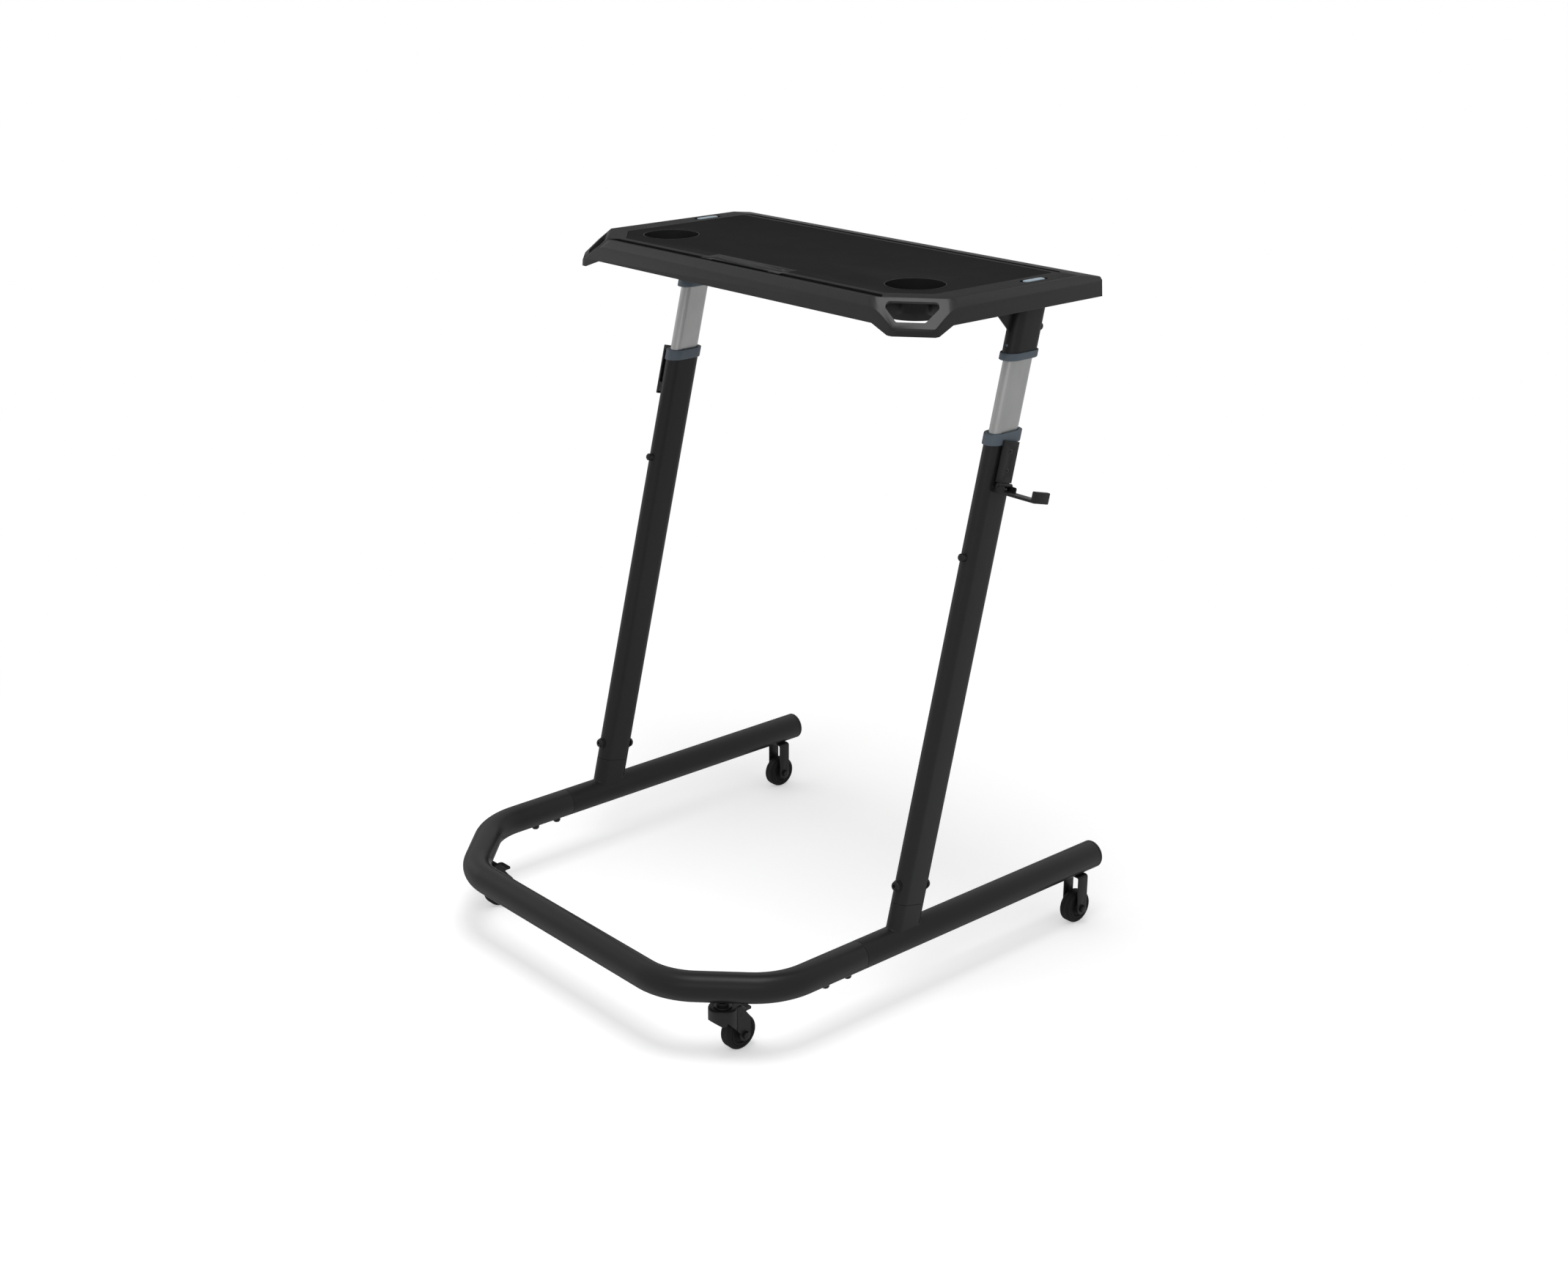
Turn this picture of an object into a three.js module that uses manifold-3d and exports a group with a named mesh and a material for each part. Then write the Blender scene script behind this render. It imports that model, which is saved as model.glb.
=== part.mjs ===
import * as THREE from 'three';
import { mergeVertices } from 'three/addons/utils/BufferGeometryUtils.js';
import Module from 'manifold-3d';

// A height-adjustable desk on casters that rolls over a bicycle trainer.
// Lengths are millimetres. X runs from the left leg to the right leg, Y from the closed end of
// the base to its open end, where the rider sits, and Z up from the floor.

const seatGap = 0.3; // between a piece and what it rests on
const slideGap = 0.4; // round a piece that slides or turns in another
const overrun = 3; // how far a cutter passes the face it cuts
const meltDistance = 0.0001; // vertices this close are one vertex
const roundSides = 10;
const smallSides = 8;
const hexSides = 6;
const arcSteps = 3;
const capsuleSteps = 6;
const roundingShare = 0.3; // where a rounded edge's middle facet starts, as a share of the edge

const base = {
  tubeRadius: 25,
  wall: 2,
  halfWidth: 403.2,
  cornerCut: 131.5,
  bendRadius: 121,
  bendSteps: 4,
  seamY: 300,
  endY: 872,
  sides: 20,
};

const sleeve = { nearY: 205, farY: 395, wall: 2.5, boltYs: [226.8, 275.6] };

const endCap = { flange: 5.5, edge: 2, plugLength: 20 };

const leg = {
  leanDegrees: 14,
  footY: 395.4,
  halfFlat: 16,
  noseRadius: 16,
  wall: 2,
  noseSteps: 6,
  seamAlong: 62,
  spigotTop: 130,
  spigotWall: 2.5,
  topHeight: 951,
  silverShown: 113.5,
  upperHeight: 81.5,
};

const innerTube = {
  halfFlat: 15,
  noseRadius: 12.5,
  wall: 1.5,
  insertedLength: 526.44,
  topGap: 7.4,
  lockPitch: 50,
  lockHolesBelow: 3,
  lockHolesAbove: 2,
};

const collar = {
  grow: 3,
  edge: 1,
  lip: 2,
  mouthGap: 1,
  mouthDepth: 3,
  lowerBand: 18,
  lowerLiner: 60,
  upperBand: 11.5,
  upperLiner: 32,
  nubRise: 16.1,
  nubRadius: 2.5,
  nubProud: 0.4,
  nubRoom: 0.8,
};

const flange = {
  thickness: 3,
  halfWidth: 33,
  nearReach: 83.2,
  farReach: 48.8,
  cornerRadius: 8,
  screwInset: 12,
  screwRadius: 2.6,
  bossRadius: 6,
};

const gusset = { thickness: 3, height: 39, reach: 78.2 };

// How a button head's dome falls away, as shares of the head's radius and height.
const buttonHead = { crownShare: 0.62, kneeShare: 0.9, kneeDropShare: 0.28, wallShare: 0.35 };

const footBolt = {
  along: 92,
  shankRadius: 4,
  shankLength: 12,
  washerRadius: 10,
  washerHeight: 1.6,
  headRadius: 8.5,
  headHeight: 6,
  socketRadius: 3,
  socketDepth: 3,
};

const sleeveBolt = {
  shankRadius: 4,
  shankLength: 11,
  washerRadius: 7.5,
  washerHeight: 1.2,
  headRadius: 7,
  headHeight: 6,
  socketRadius: 2.9,
  socketDepth: 3,
};

const upperBolt = {
  rise: 53.6,
  shankRadius: 3,
  shankLength: 12,
  washerRadius: 7.2,
  washerHeight: 0.8,
  headRadius: 7,
  headHeight: 6,
  socketRadius: 2.3,
  socketDepth: 2.5,
};

const lockPin = {
  belowTop: 209.44,
  knobRadius: 6.5,
  knobHeight: 5.5,
  dome: 3,
  domeRadiusShares: [0.92, 0.7, 0.35],
  domeDropShares: [0.5, 0.15, 0],
  ferruleHeight: 3.8,
  stemRadius: 3,
  innerGap: 0.5,
};

const hook = {
  plateGap: 4,
  plateThickness: 4.5,
  plateHalfWidth: 17,
  plateBottomRise: 1.5,
  plateTopRise: 71.5,
  screwRises: [55, 24],
  screwRadius: 2.5,
  screwHeadRadius: 4.6,
  screwHeadDepth: 2.6,
  screwSlotWidth: 1.1,
  screwSlotLength: 4.6,
  screwSlotDepth: 1.2,
  bossRadius: 6,
  pivotOut: 25.5,
  pivotBelowTop: 84.94,
  pinRadius: 2,
  pinHeadRadius: 3.2,
  pinHeadHeight: 1.4,
  pinCrownRadius: 1.9,
  pinWall: 0.4,
  barrelRadius: 4,
  barrelRoom: 0.8,
  webOuterDrop: 10.5,
  webThickness: 3,
  rearReach: 8.5,
  earReach: 13.5,
  earThickness: 3,
  halfWidth: 16,
  armReach: 82.5,
  tabThickness: 9,
  tabRise: 5.5,
  tabEdge: 1.5,
  foldDegrees: 90,
};

const wheel = {
  radius: 30,
  halfTread: 10.75,
  shoulderDrop: 1.2,
  shoulderWidth: 2,
  treadInset: 5.2,
  sidewallRadius: 24.5,
  recessRadius: 17,
  recessDepth: 2.2,
  recessSlope: 1.1,
  hubRadius: 10,
  sides: 16,
};

const axle = { radius: 4, headRadius: 6.6, headHeight: 5, nutHeight: 4.4, threadReach: 5.7 };

const rearFork = {
  y: 835.8,
  halfWidth: 18,
  metal: 3,
  depth: 23.7,
  bendRadius: 5,
  studRadius: 5,
  studRise: 16,
  headRadius: 7,
  headHeight: 4.5,
  crownRadius: 4.2,
  crownHeight: 2.2,
};

const frontFork = {
  trail: 31.25,
  crownRadius: 24,
  crownAboveWheel: 26.5,
  halfWidth: 18.5,
  metal: 2.5,
  skirtAboveWheel: 4,
  skirtBendY: 13.2,
  cheekFrontY: 16,
  cheekAboveAxle: 6,
  bossRadius: 11,
  bossStartDegrees: 153,
  raceRadius: 17,
  raceDepth: 1,
};

const stem = {
  shaftRadius: 5.5,
  studRadius: 5,
  studRise: 17,
  neckHeight: 6.3,
  raceRadius: 15,
  raceHeight: 2.6,
  nutRadius: 9.5,
  rivetRadius: 9,
  rivetHeight: 3,
  rivetCrownRadius: 6.3,
  rivetCrownHeight: 1.5,
};

const pedal = {
  pivotY: 22,
  pivotAboveWheel: 10,
  pinRadius: 2,
  halfWidth: 15.5,
  metal: 2.2,
  topAboveWheel: 13,
  frontY: 17,
  rearY: 49,
  cornerRadius: 5,
  flangeDrop: 7,
  flangeFootY: 26.4,
  flangeRearY: 40,
  padY: 33,
  padRadius: 3,
  padAboveWheel: 2.8,
};

const desk = {
  skirt: 34.2,
  sideOverhang: 42.8,
  nearReach: 295.7,
  depth: 422,
  underGap: 0.4,
  bevelWidth: 20,
  bevelDrop: 8,
  farCornerRadius: 10,
  cornerSteps: 4,
  wall: 3.5,
  deck: 4,
  grooveWall: 3,
  ribThickness: 2.6,
  ribLift: 3,
  padLift: 0.3,
};

// The two corners at the closed end are cut across into hand holds. Setbacks are measured square
// to the cut, inwards from the sharp corner, drops down from the desk's top, and the grip's places
// down the slope from its top edge.
const handle = {
  topSetback: 90.9,
  wallSetback: 24.4,
  wallDrop: 34.8,
  floorDrop: 46.8,
  rampTopSetback: 62.6,
  rampFootSetback: 39.3,
  facePlate: 5,
  gripTop: 8,
  gripWide: 21,
  gripWaist: 46.5,
  gripEnd: 57.5,
  gripTopHalf: 35,
  gripWideHalf: 40,
  gripWaistHalf: 27,
  gripEndHalf: 20,
  gripCorner: 4,
  pocketRearSetback: 114.2,
  pocketBendSetback: 102.9,
  pocketFrontSetback: 44,
  pocketRearHalf: 16,
  pocketBendHalf: 32,
  pocketHalf: 46,
};

const cup = {
  sideInset: 142.5,
  nearInset: 143,
  radius: 47.5,
  rimWidth: 2.5,
  depth: 45,
  wall: 3,
  sides: 20,
};

const mat = {
  sideInset: 66,
  nearInset: 60.5,
  farInset: 50.5,
  chamfer: 48,
  cornerRadius: 6,
  thickness: 1.8,
  sink: 0.2,
  edgeGap: 0.4,
};

const nearGroove = { edgeInset: 31.5, width: 17, endInset: 117, depth: 9 };
const farGroove = { edgeInset: 22.5, width: 17, endInset: 70, depth: 7 };

const stopPlate = {
  halfLength: 98,
  overhang: 8,
  reach: 32,
  notchHalf: 71,
  notchDepth: 4,
  thickness: 3,
  screwEndInset: 18,
  screwFarInset: 13.5,
  screwRadius: 1.8,
  screwHeadRadius: 3.4,
};

const badge = {
  sideInset: 43.7,
  farInset: 115.5,
  length: 45,
  width: 13,
  recessLength: 57,
  recessWidth: 18,
  recessDepth: 2,
  proud: 0.6,
};

const ribXShares = [-0.5, -0.25, 0, 0.25, 0.5];
const ribYShares = [0.36, 0.66];

const paint = { roughness: 0.45, metalness: 0.1 };
const blackSteel = new THREE.MeshStandardMaterial({ color: 0x1c1c1d, ...paint });
const blackPlastic = new THREE.MeshStandardMaterial({ color: 0x232324, roughness: 0.6 });
const matRubber = new THREE.MeshStandardMaterial({ color: 0x141415, roughness: 0.85 });
const wheelRubber = new THREE.MeshStandardMaterial({ color: 0x161617, roughness: 0.7 });
const bluePlastic = new THREE.MeshStandardMaterial({ color: 0x44515c, roughness: 0.55 });
const badgePlastic = new THREE.MeshStandardMaterial({ color: 0x7f93a3, roughness: 0.4 });
const silver = new THREE.MeshStandardMaterial({ color: 0x9b9d9c, roughness: 0.35, metalness: 0.8 });
const boltSteel = new THREE.MeshStandardMaterial({ color: 0x151516, roughness: 0.35, metalness: 0.5 });

const lean = THREE.MathUtils.degToRad(leg.leanDegrees);
const up = new THREE.Vector3(0, 0, 1);

// Places worked out from those sizes

// The front casters carry the base: their wheel, crown, race and neck set the tube's height.
const wheelTop = 2 * wheel.radius;
const crownHeight = wheelTop + frontFork.crownAboveWheel;
const crownSeat = crownHeight - frontFork.raceDepth;
const raceBottom = crownSeat + seatGap;
const raceTop = raceBottom + stem.raceHeight;
const stemTop = raceTop + stem.neckHeight;
const tubeUnderside = stemTop + seatGap;
const axisHeight = tubeUnderside + base.tubeRadius;

const alongAt = (height) => (height - axisHeight) / Math.cos(lean);
const lowerTopAlong = alongAt(leg.topHeight);
const upperLipHeight = leg.topHeight + leg.silverShown;
const flangeHeight = upperLipHeight + leg.upperHeight;
const flangeTop = flangeHeight + flange.thickness;
const legTopY = leg.footY + (flangeHeight - axisHeight) * Math.tan(lean);
const nubAlong = alongAt(upperLipHeight) + collar.nubRise;
const upperBoltAlong = alongAt(upperLipHeight) + upperBolt.rise;
const lockAlong = lowerTopAlong - lockPin.belowTop;
const pivotAlong = lowerTopAlong - hook.pivotBelowTop;
const silverBottomAlong = lowerTopAlong - innerTube.insertedLength;
const silverTopAlong = alongAt(flangeHeight) - innerTube.topGap;

const deskBottom = flangeTop + desk.underGap;
const deskTop = deskBottom + desk.skirt;
const handleFloor = deskTop - handle.floorDrop;
const deskHalfWidth = base.halfWidth + desk.sideOverhang;
const deskNearY = legTopY - desk.nearReach;
const deskFarY = deskNearY + desk.depth;
const cupX = deskHalfWidth - cup.sideInset;
const cupY = deskNearY + cup.nearInset;
const badgeX = deskHalfWidth - badge.sideInset;
const badgeY = deskFarY - badge.farInset;
const nearGrooveY = deskNearY + nearGroove.edgeInset;
const farGrooveY = deskFarY - farGroove.edgeInset - farGroove.width;
const stopFarY = nearGrooveY + nearGroove.width + stopPlate.reach;
const stopNearY = nearGrooveY + nearGroove.width - stopPlate.overhang;
const stopScrewX = stopPlate.halfLength - stopPlate.screwEndInset;
const stopScrewY = stopFarY - stopPlate.screwFarInset;

const wasm = await Module();
wasm.setup();

// Booleans

function solidOf(geometry) {
  const bare = new THREE.BufferGeometry();
  bare.setAttribute('position', geometry.getAttribute('position'));
  bare.setIndex(geometry.getIndex());
  const merged = mergeVertices(bare, meltDistance);
  const corners = merged.getIndex().array;
  const triangles = [];
  for (let start = 0; start < corners.length; start += 3) {
    const [a, b, c] = corners.slice(start, start + 3);
    if (a !== b && b !== c && c !== a) {
      triangles.push(a, b, c);
    }
  }
  return new wasm.Manifold(new wasm.Mesh({
    numProp: 3,
    vertProperties: new Float32Array(merged.getAttribute('position').array),
    triVerts: new Uint32Array(triangles),
  }));
}

function geometryOf(solid) {
  const { vertProperties, triVerts } = solid.getMesh();
  const geometry = new THREE.BufferGeometry();
  geometry.setAttribute('position', new THREE.BufferAttribute(vertProperties, 3));
  geometry.setIndex(new THREE.BufferAttribute(triVerts, 1));
  geometry.computeVertexNormals();
  return geometry;
}

function joined(shapes) {
  return shapes.map(solidOf).reduce((whole, solid) => whole.add(solid));
}

function cut(shape, cutters) {
  return cutters.map(solidOf).reduce((whole, solid) => whole.subtract(solid), shape);
}

// Shapes

function loft(rings, closed) {
  const count = rings[0].length;
  const index = [];
  const spans = closed ? rings.length : rings.length - 1;
  for (let ring = 0; ring < spans; ring += 1) {
    const low = ring * count;
    const high = ((ring + 1) % rings.length) * count;
    for (let step = 0; step < count; step += 1) {
      const next = (step + 1) % count;
      index.push(low + step, low + next, high + next);
      index.push(low + step, high + next, high + step);
    }
  }
  const end = (rings.length - 1) * count;
  for (let step = 1; !closed && step < count - 1; step += 1) {
    index.push(0, step + 1, step);
    index.push(end, end + step, end + step + 1);
  }
  const geometry = new THREE.BufferGeometry();
  const points = rings.flat().flatMap((point) => point.toArray());
  geometry.setAttribute('position', new THREE.Float32BufferAttribute(points, 3));
  geometry.setIndex(index);
  geometry.computeVertexNormals();
  return geometry;
}

// A profile of [radius, height] pairs, counter-clockwise, turned about the Z axis.
function turned(profile, sides) {
  const points = profile.map(([radius, height]) => new THREE.Vector2(radius, height));
  return new THREE.LatheGeometry(points, sides).rotateX(Math.PI / 2);
}

function ringTurned(profile, sides) {
  return turned([...profile, profile[0]], sides);
}

function rod(start, end, radius, sides) {
  const run = end.clone().sub(start);
  const geometry = new THREE.CylinderGeometry(radius, radius, run.length(), sides);
  const turn = new THREE.Quaternion().setFromUnitVectors(
    new THREE.Vector3(0, 1, 0),
    run.clone().normalize(),
  );
  const middle = start.clone().add(end).multiplyScalar(0.5);
  return geometry.applyQuaternion(turn).translate(middle.x, middle.y, middle.z);
}

function uprightRod(x, y, bottom, top, radius, sides) {
  return rod(new THREE.Vector3(x, y, bottom), new THREE.Vector3(x, y, top), radius, sides);
}

function block(low, high) {
  const size = new THREE.Vector3(...high).sub(new THREE.Vector3(...low));
  const middle = new THREE.Vector3(...high).add(new THREE.Vector3(...low)).multiplyScalar(0.5);
  return new THREE.BoxGeometry(size.x, size.y, size.z).translate(middle.x, middle.y, middle.z);
}

// An outline of [x, y] corners whose corners are rounded.
function roundedShape(corners, radius) {
  const shape = new THREE.Shape();
  const points = corners.map(([x, y]) => new THREE.Vector2(x, y));
  points.forEach((corner, place) => {
    const before = points[(place + points.length - 1) % points.length];
    const after = points[(place + 1) % points.length];
    const back = before.clone().sub(corner).setLength(radius).add(corner);
    const ahead = after.clone().sub(corner).setLength(radius).add(corner);
    if (place === 0) {
      shape.moveTo(back.x, back.y);
    } else {
      shape.lineTo(back.x, back.y);
    }
    shape.quadraticCurveTo(corner.x, corner.y, ahead.x, ahead.y);
  });
  shape.closePath();
  return shape;
}

function prism(shape, bottom, top, curveSegments = arcSteps) {
  const settings = { depth: top - bottom, bevelEnabled: false, curveSegments };
  return new THREE.ExtrudeGeometry(shape, settings).translate(0, 0, bottom);
}

function plainShape(corners) {
  return new THREE.Shape(corners.map(([x, y]) => new THREE.Vector2(x, y)));
}

function rectangle(x0, y0, x1, y1) {
  return [[x0, y0], [x1, y0], [x1, y1], [x0, y1]];
}

// A shape drawn in the YZ plane becomes a plate of a width along X, and one drawn in the XZ plane
// a bar along Y.
function plateAcross(shape, fromX, toX) {
  const turn = new THREE.Matrix4().makeBasis(
    new THREE.Vector3(0, 1, 0),
    new THREE.Vector3(0, 0, 1),
    new THREE.Vector3(1, 0, 0),
  );
  return prism(shape, fromX, toX).applyMatrix4(turn);
}

function barAlong(shape, fromY, toY) {
  const turn = new THREE.Matrix4().makeBasis(
    new THREE.Vector3(1, 0, 0),
    new THREE.Vector3(0, 0, 1),
    new THREE.Vector3(0, -1, 0),
  );
  return prism(shape, -toY, -fromY).applyMatrix4(turn);
}

// A button-head bolt along Z: its head stands above the seat at zero, its shank reaches below.
function buttonBolt(sizes) {
  const { headRadius, headHeight } = sizes;
  const washerTop = seatGap + sizes.washerHeight;
  const headTop = washerTop + headHeight;
  const profile = [
    [0, -sizes.shankLength],
    [sizes.shankRadius, -sizes.shankLength],
    [sizes.shankRadius, seatGap],
    [sizes.washerRadius, seatGap],
    [sizes.washerRadius, washerTop],
    [headRadius, washerTop],
    [headRadius, washerTop + headHeight * buttonHead.wallShare],
    [headRadius * buttonHead.kneeShare, headTop - headHeight * buttonHead.kneeDropShare],
    [headRadius * buttonHead.crownShare, headTop],
    [0, headTop],
  ];
  const socketFloor = headTop - sizes.socketDepth;
  const socket = uprightRod(0, 0, socketFloor, headTop + overrun, sizes.socketRadius, hexSides);
  return geometryOf(cut(solidOf(turned(profile, roundSides)), [socket]));
}

function mesh(name, geometry, material) {
  const piece = new THREE.Mesh(geometry, material);
  piece.name = name;
  return piece;
}

// The leg's own axes: X across its flats, Y across its noses and Z along it, from the point where
// its axis meets the side tube's axis.

function legPoint(out, across, along) {
  return new THREE.Vector3(out, across, along);
}

const legMatrix = new THREE.Matrix4()
  .makeTranslation(0, leg.footY, axisHeight)
  .multiply(new THREE.Matrix4().makeRotationX(-lean));

function squareCut(along) {
  return () => along;
}

function levelCut(height) {
  return (across) => (height - axisHeight + across * Math.sin(lean)) / Math.cos(lean);
}

function tubeCope(radius) {
  return (across, out) => {
    const rise = Math.sqrt(radius ** 2 - out ** 2);
    return (rise + across * Math.sin(lean)) / Math.cos(lean);
  };
}

function legRing(halfFlat, noseRadius, endAt) {
  const ring = [];
  for (const end of [1, -1]) {
    for (let step = 0; step <= leg.noseSteps; step += 1) {
      const angle = (Math.PI * step) / leg.noseSteps;
      const out = end * noseRadius * Math.cos(angle);
      const across = end * (halfFlat + noseRadius * Math.sin(angle));
      ring.push(legPoint(out, across, endAt(across, out)));
    }
  }
  return ring;
}

function legTube(halfFlat, noseRadius, wall, bottomCut, topCut) {
  return loft([
    legRing(halfFlat, noseRadius, bottomCut),
    legRing(halfFlat, noseRadius, topCut),
    legRing(halfFlat, noseRadius - wall, topCut),
    legRing(halfFlat, noseRadius - wall, bottomCut),
  ], true);
}

function legGroup(side) {
  const group = new THREE.Group();
  group.position.set(side.sign * base.halfWidth, leg.footY, axisHeight);
  group.rotation.x = -lean;
  return group;
}

const legNoseTip = leg.halfFlat + leg.noseRadius;
const lowerTubeTop = leg.topHeight - collar.lip - seatGap;
const upperTubeBottom = upperLipHeight + collar.lip + seatGap;

// Base

function tubeAlong(stations, outer, inner) {
  const ringAt = ({ point, direction }, radius) => {
    const outward = new THREE.Vector3().crossVectors(direction, up);
    const ring = [];
    for (let step = 0; step < base.sides; step += 1) {
      const angle = (2 * Math.PI * (step + 0.5)) / base.sides;
      ring.push(point.clone()
        .addScaledVector(outward, -radius * Math.sin(angle))
        .addScaledVector(up, -radius * Math.cos(angle)));
    }
    return ring;
  };
  const outside = stations.map((station) => ringAt(station, outer));
  const inside = stations.map((station) => ringAt(station, inner)).reverse();
  return loft([...outside, ...inside], true);
}

function bentStations(corners) {
  const stations = [];
  corners.forEach((corner, place) => {
    const before = corners[place - 1];
    const after = corners[place + 1];
    if (!before || !after) {
      const direction = before ? corner.clone().sub(before) : after.clone().sub(corner);
      stations.push({ point: corner, direction: direction.normalize() });
      return;
    }
    const arriving = corner.clone().sub(before).normalize();
    const leaving = after.clone().sub(corner).normalize();
    const turn = arriving.angleTo(leaving);
    const start = corner.clone().addScaledVector(arriving, -base.bendRadius * Math.tan(turn / 2));
    const inward = new THREE.Vector3().crossVectors(up, arriving);
    const centre = start.clone().addScaledVector(inward, base.bendRadius);
    for (let step = 0; step <= base.bendSteps; step += 1) {
      const angle = (turn * step) / base.bendSteps;
      const direction = arriving.clone().applyAxisAngle(up, angle);
      const point = start.clone().sub(centre).applyAxisAngle(up, angle).add(centre);
      stations.push({ point, direction });
    }
  });
  return stations;
}

const swivelX = base.halfWidth - base.cornerCut / 2;
const swivelY = base.cornerCut / 2;

function frontTube() {
  const along = base.halfWidth - base.cornerCut;
  const corner = (x, y) => new THREE.Vector3(x, y, axisHeight);
  const stations = bentStations([
    corner(-base.halfWidth, base.seamY - seatGap / 2),
    corner(-base.halfWidth, base.cornerCut),
    corner(-along, 0),
    corner(along, 0),
    corner(base.halfWidth, base.cornerCut),
    corner(base.halfWidth, base.seamY - seatGap / 2),
  ]);
  const tube = tubeAlong(stations, base.tubeRadius, base.tubeRadius - base.wall);
  const holes = [];
  for (const side of [-1, 1]) {
    for (const y of sleeve.boltYs) {
      const radius = sleeveBolt.shankRadius + slideGap;
      const x = side * base.halfWidth;
      holes.push(uprightRod(x, y, tubeUnderside - overrun, axisHeight, radius, smallSides));
    }
    const radius = stem.studRadius + slideGap;
    const x = side * swivelX;
    holes.push(uprightRod(x, swivelY, tubeUnderside - overrun, axisHeight, radius, smallSides));
  }
  return geometryOf(cut(solidOf(tube), holes));
}

function joiningSleeve() {
  const outer = base.tubeRadius - base.wall - seatGap;
  const direction = new THREE.Vector3(0, 1, 0);
  const stations = [sleeve.nearY, sleeve.farY].map((y) => (
    { point: new THREE.Vector3(0, y, axisHeight), direction }
  ));
  const tube = tubeAlong(stations, outer, outer - sleeve.wall);
  const holes = sleeve.boltYs.map((y) => uprightRod(
    0,
    y,
    tubeUnderside - overrun,
    axisHeight,
    sleeveBolt.shankRadius + slideGap,
    smallSides,
  ));
  return geometryOf(cut(solidOf(tube), holes));
}

// The side tube carries the leg's welded foot: a collar of the leg's own section, coped to the
// tube, with a smaller spigot above it that the leg slips over.
function sideTube() {
  const direction = new THREE.Vector3(0, 1, 0);
  const stations = [base.seamY + seatGap / 2, base.endY].map((y) => (
    { point: new THREE.Vector3(0, y, axisHeight), direction }
  ));
  const tube = tubeAlong(stations, base.tubeRadius, base.tubeRadius - base.wall);
  const spigotNose = leg.noseRadius - leg.wall - seatGap;
  const cope = tubeCope(base.tubeRadius - base.wall / 2);
  const foot = loft([
    legRing(leg.halfFlat, leg.noseRadius, cope),
    legRing(leg.halfFlat, leg.noseRadius, squareCut(leg.seamAlong)),
    legRing(leg.halfFlat, spigotNose, squareCut(leg.seamAlong)),
    legRing(leg.halfFlat, spigotNose, squareCut(leg.spigotTop)),
    legRing(leg.halfFlat, spigotNose - leg.spigotWall, squareCut(leg.spigotTop)),
    legRing(leg.halfFlat, spigotNose - leg.spigotWall, cope),
  ], true);
  const boltHole = rod(
    legPoint(0, -legNoseTip - overrun, footBolt.along),
    legPoint(0, legNoseTip + overrun, footBolt.along),
    footBolt.shankRadius + slideGap,
    smallSides,
  );
  const studHole = uprightRod(
    0,
    rearFork.y,
    tubeUnderside - overrun,
    axisHeight,
    rearFork.studRadius + slideGap,
    smallSides,
  );
  const whole = joined([tube, foot.applyMatrix4(legMatrix)]);
  return geometryOf(cut(whole, [boltHole.applyMatrix4(legMatrix), studHole]));
}

function tubeEndCap() {
  const plug = base.tubeRadius - base.wall - seatGap;
  const face = seatGap + endCap.flange;
  const rounding = endCap.edge * roundingShare;
  const profile = [
    [0, -endCap.plugLength],
    [plug, -endCap.plugLength],
    [plug, seatGap],
    [base.tubeRadius, seatGap],
    [base.tubeRadius, face - endCap.edge],
    [base.tubeRadius - rounding, face - rounding],
    [base.tubeRadius - endCap.edge, face],
    [0, face],
  ];
  return turned(profile, base.sides).rotateX(-Math.PI / 2);
}

// Legs

function lowerLegTube(side) {
  const tube = legTube(
    leg.halfFlat,
    leg.noseRadius,
    leg.wall,
    squareCut(leg.seamAlong + seatGap),
    levelCut(lowerTubeTop),
  );
  const boltHole = rod(
    legPoint(0, -legNoseTip - overrun, footBolt.along),
    legPoint(0, legNoseTip + overrun, footBolt.along),
    footBolt.shankRadius + slideGap,
    smallSides,
  );
  const pinHole = rod(
    legPoint(0, -legNoseTip - lockPin.ferruleHeight - overrun, lockAlong),
    legPoint(0, 0, lockAlong),
    lockPin.stemRadius + slideGap,
    smallSides,
  );
  const screwHoles = hook.screwRises.map((rise) => rod(
    legPoint(0, 0, pivotAlong + rise),
    legPoint(side.sign * (leg.noseRadius + overrun), 0, pivotAlong + rise),
    hook.screwRadius + slideGap,
    smallSides,
  ));
  const ferrule = rod(
    legPoint(0, -legNoseTip + leg.wall / 2, lockAlong),
    legPoint(0, -legNoseTip - lockPin.ferruleHeight, lockAlong),
    lockPin.knobRadius,
    roundSides,
  );
  return geometryOf(cut(joined([tube, ferrule]), [boltHole, pinHole, ...screwHoles]));
}

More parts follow.
